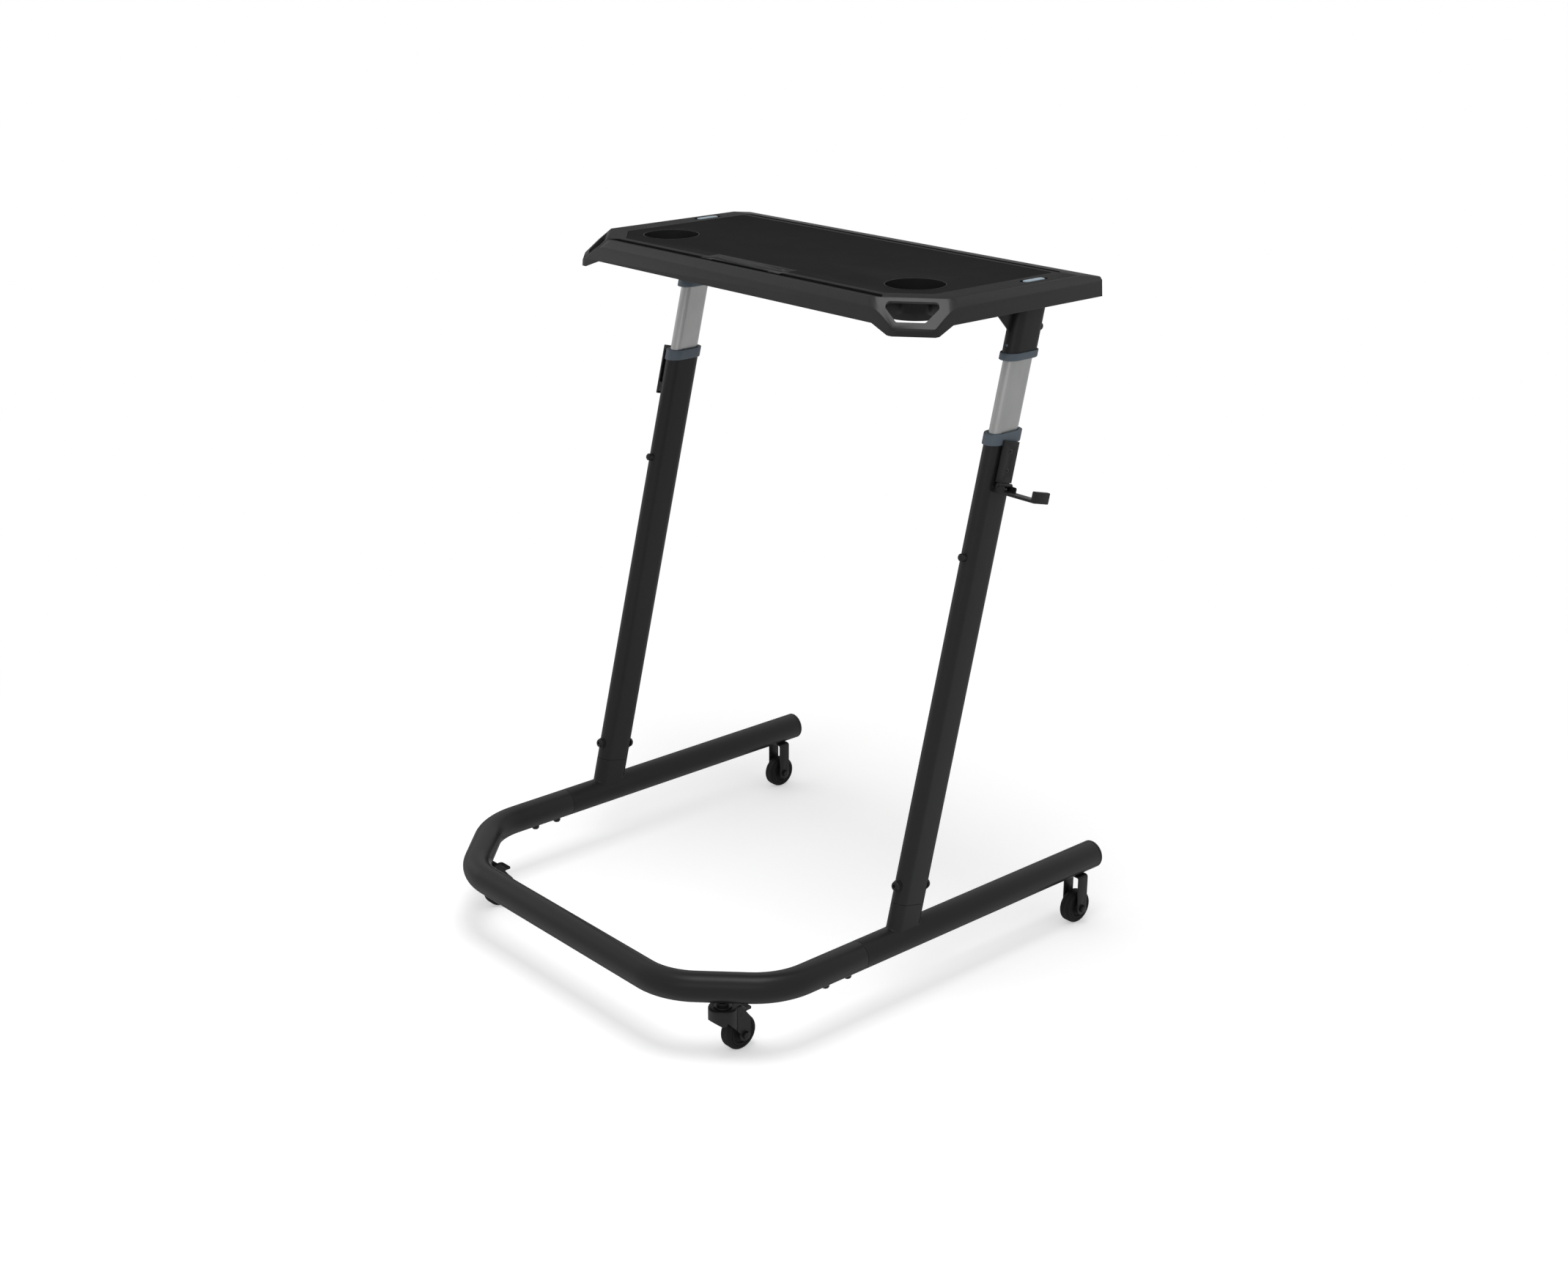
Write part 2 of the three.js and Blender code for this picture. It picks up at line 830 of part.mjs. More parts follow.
// A collar is a band round the black tube's end, a lip over that end and a liner inside the tube
// that guides the silver tube. Away is +1 where the black tube runs up from the lip and -1 where
// it runs down.
function tubeCollar(lipHeight, band, liner, away) {
  const outer = leg.noseRadius + collar.grow;
  const tubeEnd = lipHeight + away * (collar.lip + seatGap);
  const bandEnd = lipHeight + away * band;
  const linerEnd = lipHeight + away * liner;
  const mouthEnd = lipHeight + away * collar.mouthDepth;
  const sliding = innerTube.noseRadius + slideGap;
  const linerNose = leg.noseRadius - leg.wall - seatGap;
  const rounding = collar.edge * roundingShare;
  const rings = [
    legRing(leg.halfFlat, outer - collar.edge, levelCut(bandEnd)),
    legRing(leg.halfFlat, outer, levelCut(bandEnd - away * collar.edge)),
    legRing(leg.halfFlat, outer, levelCut(lipHeight + away * collar.edge)),
    legRing(leg.halfFlat, outer - rounding, levelCut(lipHeight + away * rounding)),
    legRing(leg.halfFlat, outer - collar.edge, levelCut(lipHeight)),
    legRing(innerTube.halfFlat, innerTube.noseRadius + collar.mouthGap, levelCut(lipHeight)),
    legRing(innerTube.halfFlat, sliding, levelCut(mouthEnd)),
    legRing(innerTube.halfFlat, sliding, levelCut(linerEnd)),
    legRing(leg.halfFlat, linerNose, levelCut(linerEnd)),
    legRing(leg.halfFlat, linerNose, levelCut(tubeEnd)),
    legRing(leg.halfFlat, leg.noseRadius + seatGap, levelCut(tubeEnd)),
    legRing(leg.halfFlat, leg.noseRadius + seatGap, levelCut(bandEnd)),
  ];
  return loft(away < 0 ? rings : rings.reverse(), true);
}

function lowerCollar() {
  return tubeCollar(leg.topHeight, collar.lowerBand, collar.lowerLiner, -1);
}

function upperCollar() {
  const ring = tubeCollar(upperLipHeight, collar.upperBand, collar.upperLiner, 1);
  const nub = rod(
    legPoint(0, -innerTube.halfFlat - innerTube.noseRadius - collar.nubRoom, nubAlong),
    legPoint(0, -legNoseTip - collar.nubProud, nubAlong),
    collar.nubRadius,
    smallSides,
  );
  return geometryOf(joined([ring, nub]));
}

function silverTube() {
  const tube = legTube(
    innerTube.halfFlat,
    innerTube.noseRadius,
    innerTube.wall,
    squareCut(silverBottomAlong),
    squareCut(silverTopAlong),
  );
  const holes = [rod(
    legPoint(0, 0, upperBoltAlong),
    legPoint(0, legNoseTip + overrun, upperBoltAlong),
    upperBolt.shankRadius + slideGap,
    smallSides,
  )];
  for (let step = -innerTube.lockHolesBelow; step <= innerTube.lockHolesAbove; step += 1) {
    const along = lockAlong + step * innerTube.lockPitch;
    holes.push(rod(
      legPoint(0, -legNoseTip, along),
      legPoint(0, 0, along),
      lockPin.stemRadius + slideGap,
      smallSides,
    ));
  }
  return geometryOf(cut(solidOf(tube), holes));
}

// The upper tube ends in a flange plate under the desk, stiffened by a gusset.
function upperLegTube() {
  const plateMiddle = flangeHeight + flange.thickness / 2;
  const tube = legTube(
    leg.halfFlat,
    leg.noseRadius,
    leg.wall,
    levelCut(upperTubeBottom),
    levelCut(plateMiddle),
  );
  const near = legTopY - flange.nearReach;
  const far = legTopY + flange.farReach;
  const plate = prism(
    roundedShape(rectangle(-flange.halfWidth, near, flange.halfWidth, far), flange.cornerRadius),
    flangeHeight,
    flangeTop,
  );
  const noseY = (height) => {
    const across = -legNoseTip + leg.wall / 2;
    return legPoint(0, across, levelCut(height)(across)).applyMatrix4(legMatrix).y;
  };
  const gussetFoot = flangeHeight - gusset.height;
  const gussetTip = legTopY - gusset.reach;
  const rib = plateAcross(plainShape([
    [noseY(gussetFoot), gussetFoot],
    [noseY(plateMiddle), plateMiddle],
    [gussetTip, plateMiddle],
    [gussetTip, flangeHeight],
  ]), -gusset.thickness / 2, gusset.thickness / 2);
  const nubHole = rod(
    legPoint(0, 0, nubAlong),
    legPoint(0, -legNoseTip - overrun, nubAlong),
    collar.nubRadius + seatGap,
    smallSides,
  );
  const boltHole = rod(
    legPoint(0, 0, upperBoltAlong),
    legPoint(0, legNoseTip + overrun, upperBoltAlong),
    upperBolt.shankRadius + slideGap,
    smallSides,
  );
  const screwHoles = flangeScrews().map(([x, y]) => uprightRod(
    x,
    y,
    flangeHeight - overrun,
    flangeTop + overrun,
    flange.screwRadius,
    smallSides,
  ));
  const whole = joined([tube.applyMatrix4(legMatrix), plate, rib]);
  const holes = [nubHole.applyMatrix4(legMatrix), boltHole.applyMatrix4(legMatrix), ...screwHoles];
  return geometryOf(cut(whole, holes));
}

function flangeScrews() {
  const x = flange.halfWidth - flange.screwInset;
  const near = legTopY - flange.nearReach + flange.screwInset;
  const far = legTopY + flange.farReach - flange.screwInset;
  return [[-x, near], [x, near], [-x, far], [x, far]];
}

// A sprung pin, drawn outwards through a ferrule on the leg's nose, that locks the silver tube at
// one of its row of holes. Its stem is shown just clear of that tube.
function legLockPin() {
  const wallGap = legNoseTip - innerTube.halfFlat - innerTube.noseRadius;
  const tipDepth = lockPin.ferruleHeight + wallGap - lockPin.innerGap;
  const top = seatGap + lockPin.knobHeight;
  const profile = [
    [0, -tipDepth],
    [lockPin.stemRadius, -tipDepth],
    [lockPin.stemRadius, seatGap],
    [lockPin.knobRadius, seatGap],
    [lockPin.knobRadius, top - lockPin.dome],
    ...lockPin.domeRadiusShares.map((share, place) => [
      lockPin.knobRadius * share,
      top - lockPin.dome * lockPin.domeDropShares[place],
    ]),
    [0, top],
  ];
  return turned(profile, roundSides);
}

// Hooks. Their own axes: X out from the leg, Y across its noses and Z along it, from the pin.

const plateInner = leg.noseRadius + hook.plateGap - hook.pivotOut;
const plateOuter = plateInner + hook.plateThickness;

function hookBracket() {
  const half = hook.plateHalfWidth;
  const bottom = hook.plateBottomRise;
  const earRoom = hook.halfWidth - hook.earThickness - seatGap;
  const legFlat = leg.noseRadius - hook.pivotOut;
  const plate = block([plateInner, -half, bottom], [plateOuter, half, hook.plateTopRise]);
  const barrel = rod(
    new THREE.Vector3(0, -earRoom, 0),
    new THREE.Vector3(0, earRoom, 0),
    hook.barrelRadius,
    roundSides,
  );
  const neck = block([plateInner, -earRoom, 0], [0, earRoom, hook.barrelRadius]);
  const bosses = hook.screwRises.map((height) => rod(
    new THREE.Vector3(legFlat + seatGap, 0, height),
    new THREE.Vector3(plateInner + hook.plateThickness / 2, 0, height),
    hook.bossRadius,
    smallSides,
  ));
  const notchTop = hook.barrelRadius + hook.barrelRoom;
  const notches = [
    [earRoom, half + overrun],
    [-half - overrun, -earRoom],
  ].map(([from, to]) => block(
    [plateInner - overrun, from, bottom - overrun],
    [plateOuter + overrun, to, notchTop],
  ));
  const pinHole = rod(
    new THREE.Vector3(0, -half, 0),
    new THREE.Vector3(0, half, 0),
    hook.pinRadius + seatGap,
    smallSides,
  );
  const screwCuts = hook.screwRises.map((height) => screwBody(seatGap, overrun)
    .translate(0, 0, height));
  return geometryOf(cut(joined([plate, barrel, neck, ...bosses]), [...notches, pinHole, ...screwCuts]));
}

// A countersunk screw along X, its flat head level with the plate's outer face.
function screwBody(grow, above) {
  const shank = hook.screwRadius + grow;
  const head = hook.screwHeadRadius + grow;
  const reach = leg.noseRadius - leg.wall + slideGap - hook.pivotOut;
  const profile = [
    [0, reach - grow],
    [shank, reach - grow],
    [shank, plateOuter - hook.screwHeadDepth],
    [head, plateOuter - seatGap + grow],
    [head, plateOuter + above],
    [0, plateOuter + above],
  ];
  return turned(profile, smallSides).rotateY(Math.PI / 2);
}

function bracketScrew() {
  const top = plateOuter + overrun;
  const floor = plateOuter - hook.screwSlotDepth;
  const halfWide = hook.screwSlotWidth / 2;
  const halfLong = hook.screwSlotLength / 2;
  const cross = [
    block([floor, -halfLong, -halfWide], [top, halfLong, halfWide]),
    block([floor, -halfWide, -halfLong], [top, halfWide, halfLong]),
  ];
  return geometryOf(cut(solidOf(screwBody(0, 0)), cross));
}

function hookArm() {
  const { webThickness, rearReach, armReach, tabRise, tabEdge, barrelRadius, earReach } = hook;
  const webBottom = -hook.webOuterDrop;
  const webMiddle = webBottom + webThickness / 2;
  const webTop = webBottom + webThickness;
  const webRear = -rearReach + webThickness / 2;
  const tabFace = armReach - hook.tabThickness;
  const profile = new THREE.Shape();
  profile.moveTo(webRear, webBottom);
  profile.lineTo(armReach - tabEdge, webBottom);
  profile.quadraticCurveTo(armReach, webBottom, armReach, webBottom + tabEdge);
  profile.lineTo(armReach, tabRise - tabEdge);
  profile.quadraticCurveTo(armReach, tabRise, armReach - tabEdge, tabRise);
  profile.lineTo(tabFace + tabEdge, tabRise);
  profile.quadraticCurveTo(tabFace, tabRise, tabFace, tabRise - tabEdge);
  profile.lineTo(tabFace, webTop);
  profile.lineTo(webRear, webTop);
  profile.absarc(webRear, webMiddle, webThickness / 2, Math.PI / 2, -Math.PI / 2);
  const ear = new THREE.Shape();
  ear.moveTo(-rearReach + webThickness, webMiddle);
  ear.lineTo(earReach, webMiddle);
  ear.lineTo(earReach, -barrelRadius / 2);
  ear.quadraticCurveTo(earReach, 0, earReach - barrelRadius / 2, 0);
  ear.lineTo(barrelRadius, 0);
  ear.absarc(0, 0, barrelRadius, 0, Math.PI);
  const web = barAlong(profile, -hook.halfWidth, hook.halfWidth);
  const ears = [-1, 1].map((end) => {
    const inner = end * (hook.halfWidth - hook.earThickness);
    const outer = end * hook.halfWidth;
    return barAlong(ear, Math.min(inner, outer), Math.max(inner, outer));
  });
  const pinHole = rod(
    new THREE.Vector3(0, -hook.plateHalfWidth, 0),
    new THREE.Vector3(0, hook.plateHalfWidth, 0),
    hook.pinRadius + slideGap,
    smallSides,
  );
  return geometryOf(cut(joined([web, ...ears]), [pinHole]));
}

function hookPin() {
  const seat = hook.halfWidth + seatGap;
  const end = seat + hook.pinHeadHeight;
  const profile = [
    [0, -end],
    [hook.pinCrownRadius, -end],
    [hook.pinHeadRadius, -seat - hook.pinWall],
    [hook.pinHeadRadius, -seat],
    [hook.pinRadius, -seat],
    [hook.pinRadius, seat],
    [hook.pinHeadRadius, seat],
    [hook.pinHeadRadius, seat + hook.pinWall],
    [hook.pinCrownRadius, end],
    [0, end],
  ];
  return turned(profile, smallSides).rotateX(-Math.PI / 2);
}

// Casters. Their own axes: X along the wheel's axle.

function casterWheel(hubReach) {
  const { radius, halfTread, recessRadius, hubRadius } = wheel;
  const floor = halfTread - wheel.recessDepth;
  const half = [
    [hubRadius, floor],
    [recessRadius, floor],
    [recessRadius + wheel.recessSlope, halfTread],
    [wheel.sidewallRadius, halfTread],
    [radius - wheel.shoulderDrop, halfTread - wheel.shoulderWidth],
    [radius, halfTread - wheel.treadInset],
  ];
  const bore = axle.radius + slideGap;
  const near = half.map(([r, h]) => [r, -h]);
  const far = half.slice().reverse();
  const profile = [
    [bore, -hubReach],
    [hubRadius, -hubReach],
    ...near,
    ...far,
    [hubRadius, hubReach],
    [bore, hubReach],
  ];
  return ringTurned(profile, wheel.sides).rotateY(Math.PI / 2);
}

function casterAxle(forkHalfWidth) {
  const seat = forkHalfWidth + seatGap;
  const along = (x) => new THREE.Vector3(x, 0, 0);
  const end = seat + axle.headHeight;
  const shank = rod(along(-seat - axle.threadReach), along((seat + end) / 2), axle.radius, smallSides);
  const head = rod(along(seat), along(end), axle.headRadius, hexSides);
  const nut = rod(along(-seat - axle.nutHeight), along(-seat), axle.headRadius, hexSides);
  return geometryOf(joined([shank, head, nut]));
}

// A bent steel strap with the stud riveted through its web.
function rearCasterFork() {
  const { halfWidth, metal, bendRadius, studRadius, headRadius } = rearFork;
  const top = tubeUnderside - seatGap;
  const webBottom = top - metal;
  const headBottom = webBottom - rearFork.headHeight;
  const strap = new THREE.Shape();
  strap.moveTo(-halfWidth, 0);
  strap.lineTo(-halfWidth, top - bendRadius);
  strap.quadraticCurveTo(-halfWidth, top, -halfWidth + bendRadius, top);
  strap.lineTo(halfWidth - bendRadius, top);
  strap.quadraticCurveTo(halfWidth, top, halfWidth, top - bendRadius);
  strap.lineTo(halfWidth, 0);
  strap.lineTo(halfWidth - metal, 0);
  strap.lineTo(halfWidth - metal, top - bendRadius);
  strap.quadraticCurveTo(halfWidth - metal, webBottom, halfWidth - bendRadius, webBottom);
  strap.lineTo(-halfWidth + bendRadius, webBottom);
  strap.quadraticCurveTo(-halfWidth + metal, webBottom, -halfWidth + metal, top - bendRadius);
  strap.lineTo(-halfWidth + metal, 0);
  strap.closePath();
  const half = rearFork.depth / 2;
  const side = new THREE.Shape();
  side.moveTo(half, wheel.radius);
  side.lineTo(half, top + overrun);
  side.lineTo(-half, top + overrun);
  side.lineTo(-half, wheel.radius);
  side.absarc(0, wheel.radius, half, Math.PI, 2 * Math.PI);
  const legs = solidOf(barAlong(strap, -half, half))
    .intersect(solidOf(plateAcross(side, -halfWidth - overrun, halfWidth + overrun)));
  const stud = turned([
    [0, headBottom],
    [rearFork.crownRadius, headBottom],
    [headRadius, headBottom + rearFork.crownHeight],
    [headRadius, webBottom],
    [studRadius, webBottom],
    [studRadius, top + rearFork.studRise],
    [0, top + rearFork.studRise],
  ], smallSides);
  const axleHole = rod(
    new THREE.Vector3(-halfWidth - overrun, 0, wheel.radius),
    new THREE.Vector3(halfWidth + overrun, 0, wheel.radius),
    axle.radius + seatGap,
    smallSides,
  );
  return geometryOf(cut(legs.add(solidOf(stud)), [axleHole]));
}

// The front fork is a pressed hood: a round crown on the swivel, a skirt round its leading side
// and two cheeks that trail back to the axle. Y is measured from the swivel.
function frontCasterFork() {
  const { trail, crownRadius, halfWidth, metal, bossRadius } = frontFork;
  const hoodPlan = (shrink, rearReach) => {
    const shape = new THREE.Shape();
    const radius = crownRadius - shrink;
    const half = halfWidth - shrink;
    const blend = Math.acos(half / radius);
    shape.moveTo(half, rearReach);
    shape.lineTo(-half, rearReach);
    shape.absarc(0, 0, radius, Math.PI - blend, 2 * Math.PI + blend);
    shape.closePath();
    return shape;
  };
  const pivotHeight = wheelTop + pedal.pivotAboveWheel;
  const rear = trail + bossRadius + overrun;
  const outside = solidOf(prism(hoodPlan(0, rear), 0, crownHeight, arcSteps * 2));
  const inside = prism(hoodPlan(metal, rear + overrun), -overrun, crownHeight - metal, arcSteps * 2);
  const high = crownHeight + overrun;
  const profile = new THREE.Shape();
  profile.moveTo(-crownRadius - overrun, high);
  profile.lineTo(-crownRadius - overrun, wheelTop + frontFork.skirtAboveWheel);
  profile.lineTo(-frontFork.skirtBendY, wheelTop + frontFork.skirtAboveWheel - metal);
  profile.lineTo(frontFork.cheekFrontY, wheel.radius + frontFork.cheekAboveAxle);
  const bossStart = THREE.MathUtils.degToRad(frontFork.bossStartDegrees);
  profile.absarc(trail, wheel.radius, bossRadius, bossStart, 2 * Math.PI);
  profile.lineTo(trail + bossRadius, wheelTop);
  profile.lineTo(crownRadius, crownHeight - metal);
  profile.lineTo(crownRadius, high);
  profile.closePath();
  const sideCut = solidOf(plateAcross(profile, -crownRadius - overrun, crownRadius + overrun));
  const cutters = [
    inside,
    uprightRod(0, 0, 0, high, stem.shaftRadius + slideGap, roundSides),
    uprightRod(0, 0, crownSeat, high, frontFork.raceRadius, roundSides),
    rod(
      new THREE.Vector3(-halfWidth - overrun, trail, wheel.radius),
      new THREE.Vector3(halfWidth + overrun, trail, wheel.radius),
      axle.radius + seatGap,
      smallSides,
    ),
    rod(
      new THREE.Vector3(-halfWidth - overrun, pedal.pivotY, pivotHeight),
      new THREE.Vector3(halfWidth + overrun, pedal.pivotY, pivotHeight),
      pedal.pinRadius + seatGap,
      smallSides,
    ),
  ];
  return geometryOf(cut(outside.intersect(sideCut), cutters));
}

// The swivel's kingpin: a stud into the tube, a race above the crown and a riveted foot below it.
function casterStem() {
  const rivetTop = crownHeight - frontFork.metal - seatGap;
  const studTop = tubeUnderside + stem.studRise;
  const profile = [
    [0, rivetTop - stem.rivetHeight],
    [stem.rivetCrownRadius, rivetTop - stem.rivetHeight],
    [stem.rivetRadius, rivetTop - stem.rivetCrownHeight],
    [stem.rivetRadius, rivetTop],
    [stem.shaftRadius, rivetTop],
    [stem.shaftRadius, raceBottom],
    [stem.raceRadius, raceBottom],
    [stem.raceRadius, raceTop],
    [stem.nutRadius, raceTop],
    [stem.nutRadius, stemTop],
    [stem.studRadius, stemTop],
    [stem.studRadius, studTop],
    [0, studTop],
  ];
  return turned(profile, roundSides);
}

function brakePedal() {
  const { metal, frontY, rearY, pivotY, padY } = pedal;
  const half = pedal.halfWidth;
  const topHeight = wheelTop + pedal.topAboveWheel;
  const pivotHeight = wheelTop + pedal.pivotAboveWheel;
  const plate = prism(
    roundedShape(rectangle(-half, frontY, half, rearY), pedal.cornerRadius),
    topHeight - metal,
    topHeight,
  );
  const flangeShape = plainShape([
    [frontY + pedal.cornerRadius, topHeight - metal / 2],
    [frontY + pedal.cornerRadius, topHeight - pedal.flangeDrop],
    [pedal.flangeFootY, topHeight - pedal.flangeDrop],
    [pedal.flangeRearY, topHeight - metal / 2],
  ]);
  const flanges = [-1, 1].map((end) => plateAcross(
    flangeShape,
    Math.min(end * half, end * (half - metal)),
    Math.max(end * half, end * (half - metal)),
  ));
  const pin = rod(
    new THREE.Vector3(-frontFork.halfWidth, pivotY, pivotHeight),
    new THREE.Vector3(frontFork.halfWidth, pivotY, pivotHeight),
    pedal.pinRadius,
    smallSides,
  );
  const pad = block(
    [-half / 2, padY - pedal.padRadius, wheelTop + pedal.padAboveWheel],
    [half / 2, padY + pedal.padRadius, topHeight - metal / 2],
  );
  return geometryOf(joined([plate, ...flanges, pin, pad]));
}

// Desk

function outwardAt(sign) {
  return new THREE.Vector3(sign, -1, 0).normalize();
}

// A corner's own axes start at the slab's sharp corner: X points out across the hand hold, Y up.
function cornerMatrix(sign) {
  const outward = outwardAt(sign);
  return new THREE.Matrix4()
    .makeBasis(outward, up, outward.clone().cross(up))
    .setPosition(sign * deskHalfWidth, deskNearY, 0);
}

// The same corner for outlines drawn in plan: X runs along the hand hold, Y outwards.
function cornerPlanMatrix(sign) {
  const outward = outwardAt(sign);
  return new THREE.Matrix4()
    .makeBasis(outward.clone().cross(up), outward, up)
    .setPosition(sign * deskHalfWidth, deskNearY, 0);
}

const slopeAngle = Math.atan2(handle.wallDrop, handle.topSetback - handle.wallSetback);

function slabRing(inset, height) {
  const halfWidth = deskHalfWidth - inset;
  const near = deskNearY + inset;
  const far = deskFarY - inset;
  const radius = desk.farCornerRadius;
  const ring = [new THREE.Vector3(-halfWidth, near, height), new THREE.Vector3(halfWidth, near, height)];
  for (const sign of [1, -1]) {
    for (let step = 0; step <= desk.cornerSteps; step += 1) {
      const angle = (Math.PI / 2) * (step / desk.cornerSteps) + (sign > 0 ? 0 : Math.PI / 2);
      ring.push(new THREE.Vector3(
        sign * (halfWidth - radius) + radius * Math.cos(angle),
        far - radius + radius * Math.sin(angle),
        height,
      ));
    }
  }
  return ring;
}

// The desk's outer form with nothing cut from its top, or, with a wall and a deck, the hollow
// inside that form, which runs out through the underside.
function deskForm(wall, deck, facePlate) {
  const below = wall > 0 ? overrun : 0;
  const slab = solidOf(loft([
    slabRing(wall, deskBottom - below),
    slabRing(wall, deskTop - desk.bevelDrop - deck),
    slabRing(wall + desk.bevelWidth, deskTop - deck),
  ], false));
  const footprint = solidOf(loft([
    slabRing(wall, handleFloor - below),
    slabRing(wall, deskTop - desk.bevelDrop - deck),
  ], false));
  const reach = deskHalfWidth;
  const wallAcross = -handle.wallSetback - wall;
  const slopeTop = deskTop - facePlate / Math.cos(slopeAngle);
  const slopeHeight = (across) => slopeTop - (across + handle.topSetback) * Math.tan(slopeAngle);
  const drop = plainShape([
    [-handle.rampTopSetback + wall, deskBottom + overrun],
    [-handle.rampTopSetback + wall, deskBottom - below],
    [-handle.rampFootSetback + wall, handleFloor - below],
    [wallAcross, handleFloor - below],
    [wallAcross, deskBottom + overrun],
  ]);
  const high = deskTop + overrun;
  const low = handleFloor - below - overrun;
  const away = -handle.wallSetback + reach;
  const highAcross = -handle.topSetback - (high - slopeTop) / Math.tan(slopeAngle);
  const corner = plainShape([
    [highAcross, high],
    [wallAcross, slopeHeight(wallAcross)],
    [wallAcross, low],
    [away, low],
    [away, high],
  ]);
  const acrossCorner = (shape, sign) => (
    solidOf(prism(shape, -reach / 2, reach / 2).applyMatrix4(cornerMatrix(sign)))
  );
  let whole = slab;
  for (const sign of [-1, 1]) {
    whole = whole.add(acrossCorner(drop, sign).intersect(footprint));
  }
  for (const sign of [-1, 1]) {
    whole = whole.subtract(acrossCorner(corner, sign));
  }
  return whole;
}

function gripHole(sign) {
  const outline = roundedShape([
    [-handle.gripTopHalf, handle.gripTop],
    [handle.gripTopHalf, handle.gripTop],
    [handle.gripWideHalf, handle.gripWide],
    [handle.gripWaistHalf, handle.gripWaist],
    [handle.gripEndHalf, handle.gripEnd],
    [-handle.gripEndHalf, handle.gripEnd],
    [-handle.gripWaistHalf, handle.gripWaist],
    [-handle.gripWideHalf, handle.gripWide],
  ], handle.gripCorner);
  const outward = outwardAt(sign);
  const sideways = up.clone().cross(outward);
  const downSlope = outward.clone().applyAxisAngle(sideways, slopeAngle);
  const faceNormal = up.clone().applyAxisAngle(sideways, slopeAngle);
  const topEdge = new THREE.Vector3(sign * deskHalfWidth, deskNearY, deskTop)
    .addScaledVector(outward, -handle.topSetback);
  const place = new THREE.Matrix4()
    .makeBasis(sideways.negate(), downSlope, faceNormal)
    .setPosition(topEdge);
  return prism(outline, -handle.facePlate - overrun, overrun).applyMatrix4(place);
}

function pocketOutline(grow, openFront) {
  const side = handle.pocketHalf + grow;
  const bend = handle.pocketBendHalf + grow / 2;
  const bendAcross = -handle.pocketBendSetback - grow / 2;
  const sideAcross = bendAcross + handle.pocketRearHalf;
  const rear = handle.pocketRearHalf;
  const rearAcross = -handle.pocketRearSetback - grow;
  const front = -handle.pocketFrontSetback + openFront;
  return plainShape([
    [-side, front],
    [-side, sideAcross],
    [-bend, bendAcross],
    [-rear, rearAcross],
    [rear, rearAcross],
    [bend, bendAcross],
    [side, sideAcross],
    [side, front],
  ]);
}

function grooveBox(groove, nearY, grow, top) {
  const half = deskHalfWidth - groove.endInset + grow;
  return block(
    [-half, nearY - grow, deskTop - groove.depth - grow],
    [half, nearY + groove.width + grow, top],
  );
}

function matCorners(grow) {
  const side = deskHalfWidth - mat.sideInset + grow;
  const near = deskNearY + mat.nearInset - grow;
  const far = deskFarY - mat.farInset + grow;
  return [
    [-side + mat.chamfer, near],
    [side - mat.chamfer, near],
    [side, near + mat.chamfer],
    [side, far],
    [-side, far],
    [-side, near + mat.chamfer],
  ];
}

function capsule(length, width) {
  const straight = (length - width) / 2;
  const shape = new THREE.Shape();
  shape.absarc(0, straight, width / 2, 0, Math.PI);
  shape.absarc(0, -straight, width / 2, Math.PI, 2 * Math.PI);
  shape.closePath();
  return shape;
}

function stopPlateCorners(grow) {
  const { notchHalf, notchDepth } = stopPlate;
  const half = stopPlate.halfLength + grow;
  const far = stopFarY + grow;
  return [
    [-half, stopNearY],
    [-notchHalf, stopNearY],
    [-notchHalf, stopNearY + notchDepth],
    [notchHalf, stopNearY + notchDepth],
    [notchHalf, stopNearY],
    [half, stopNearY],
    [half, far],
    [-half, far],
  ];
}

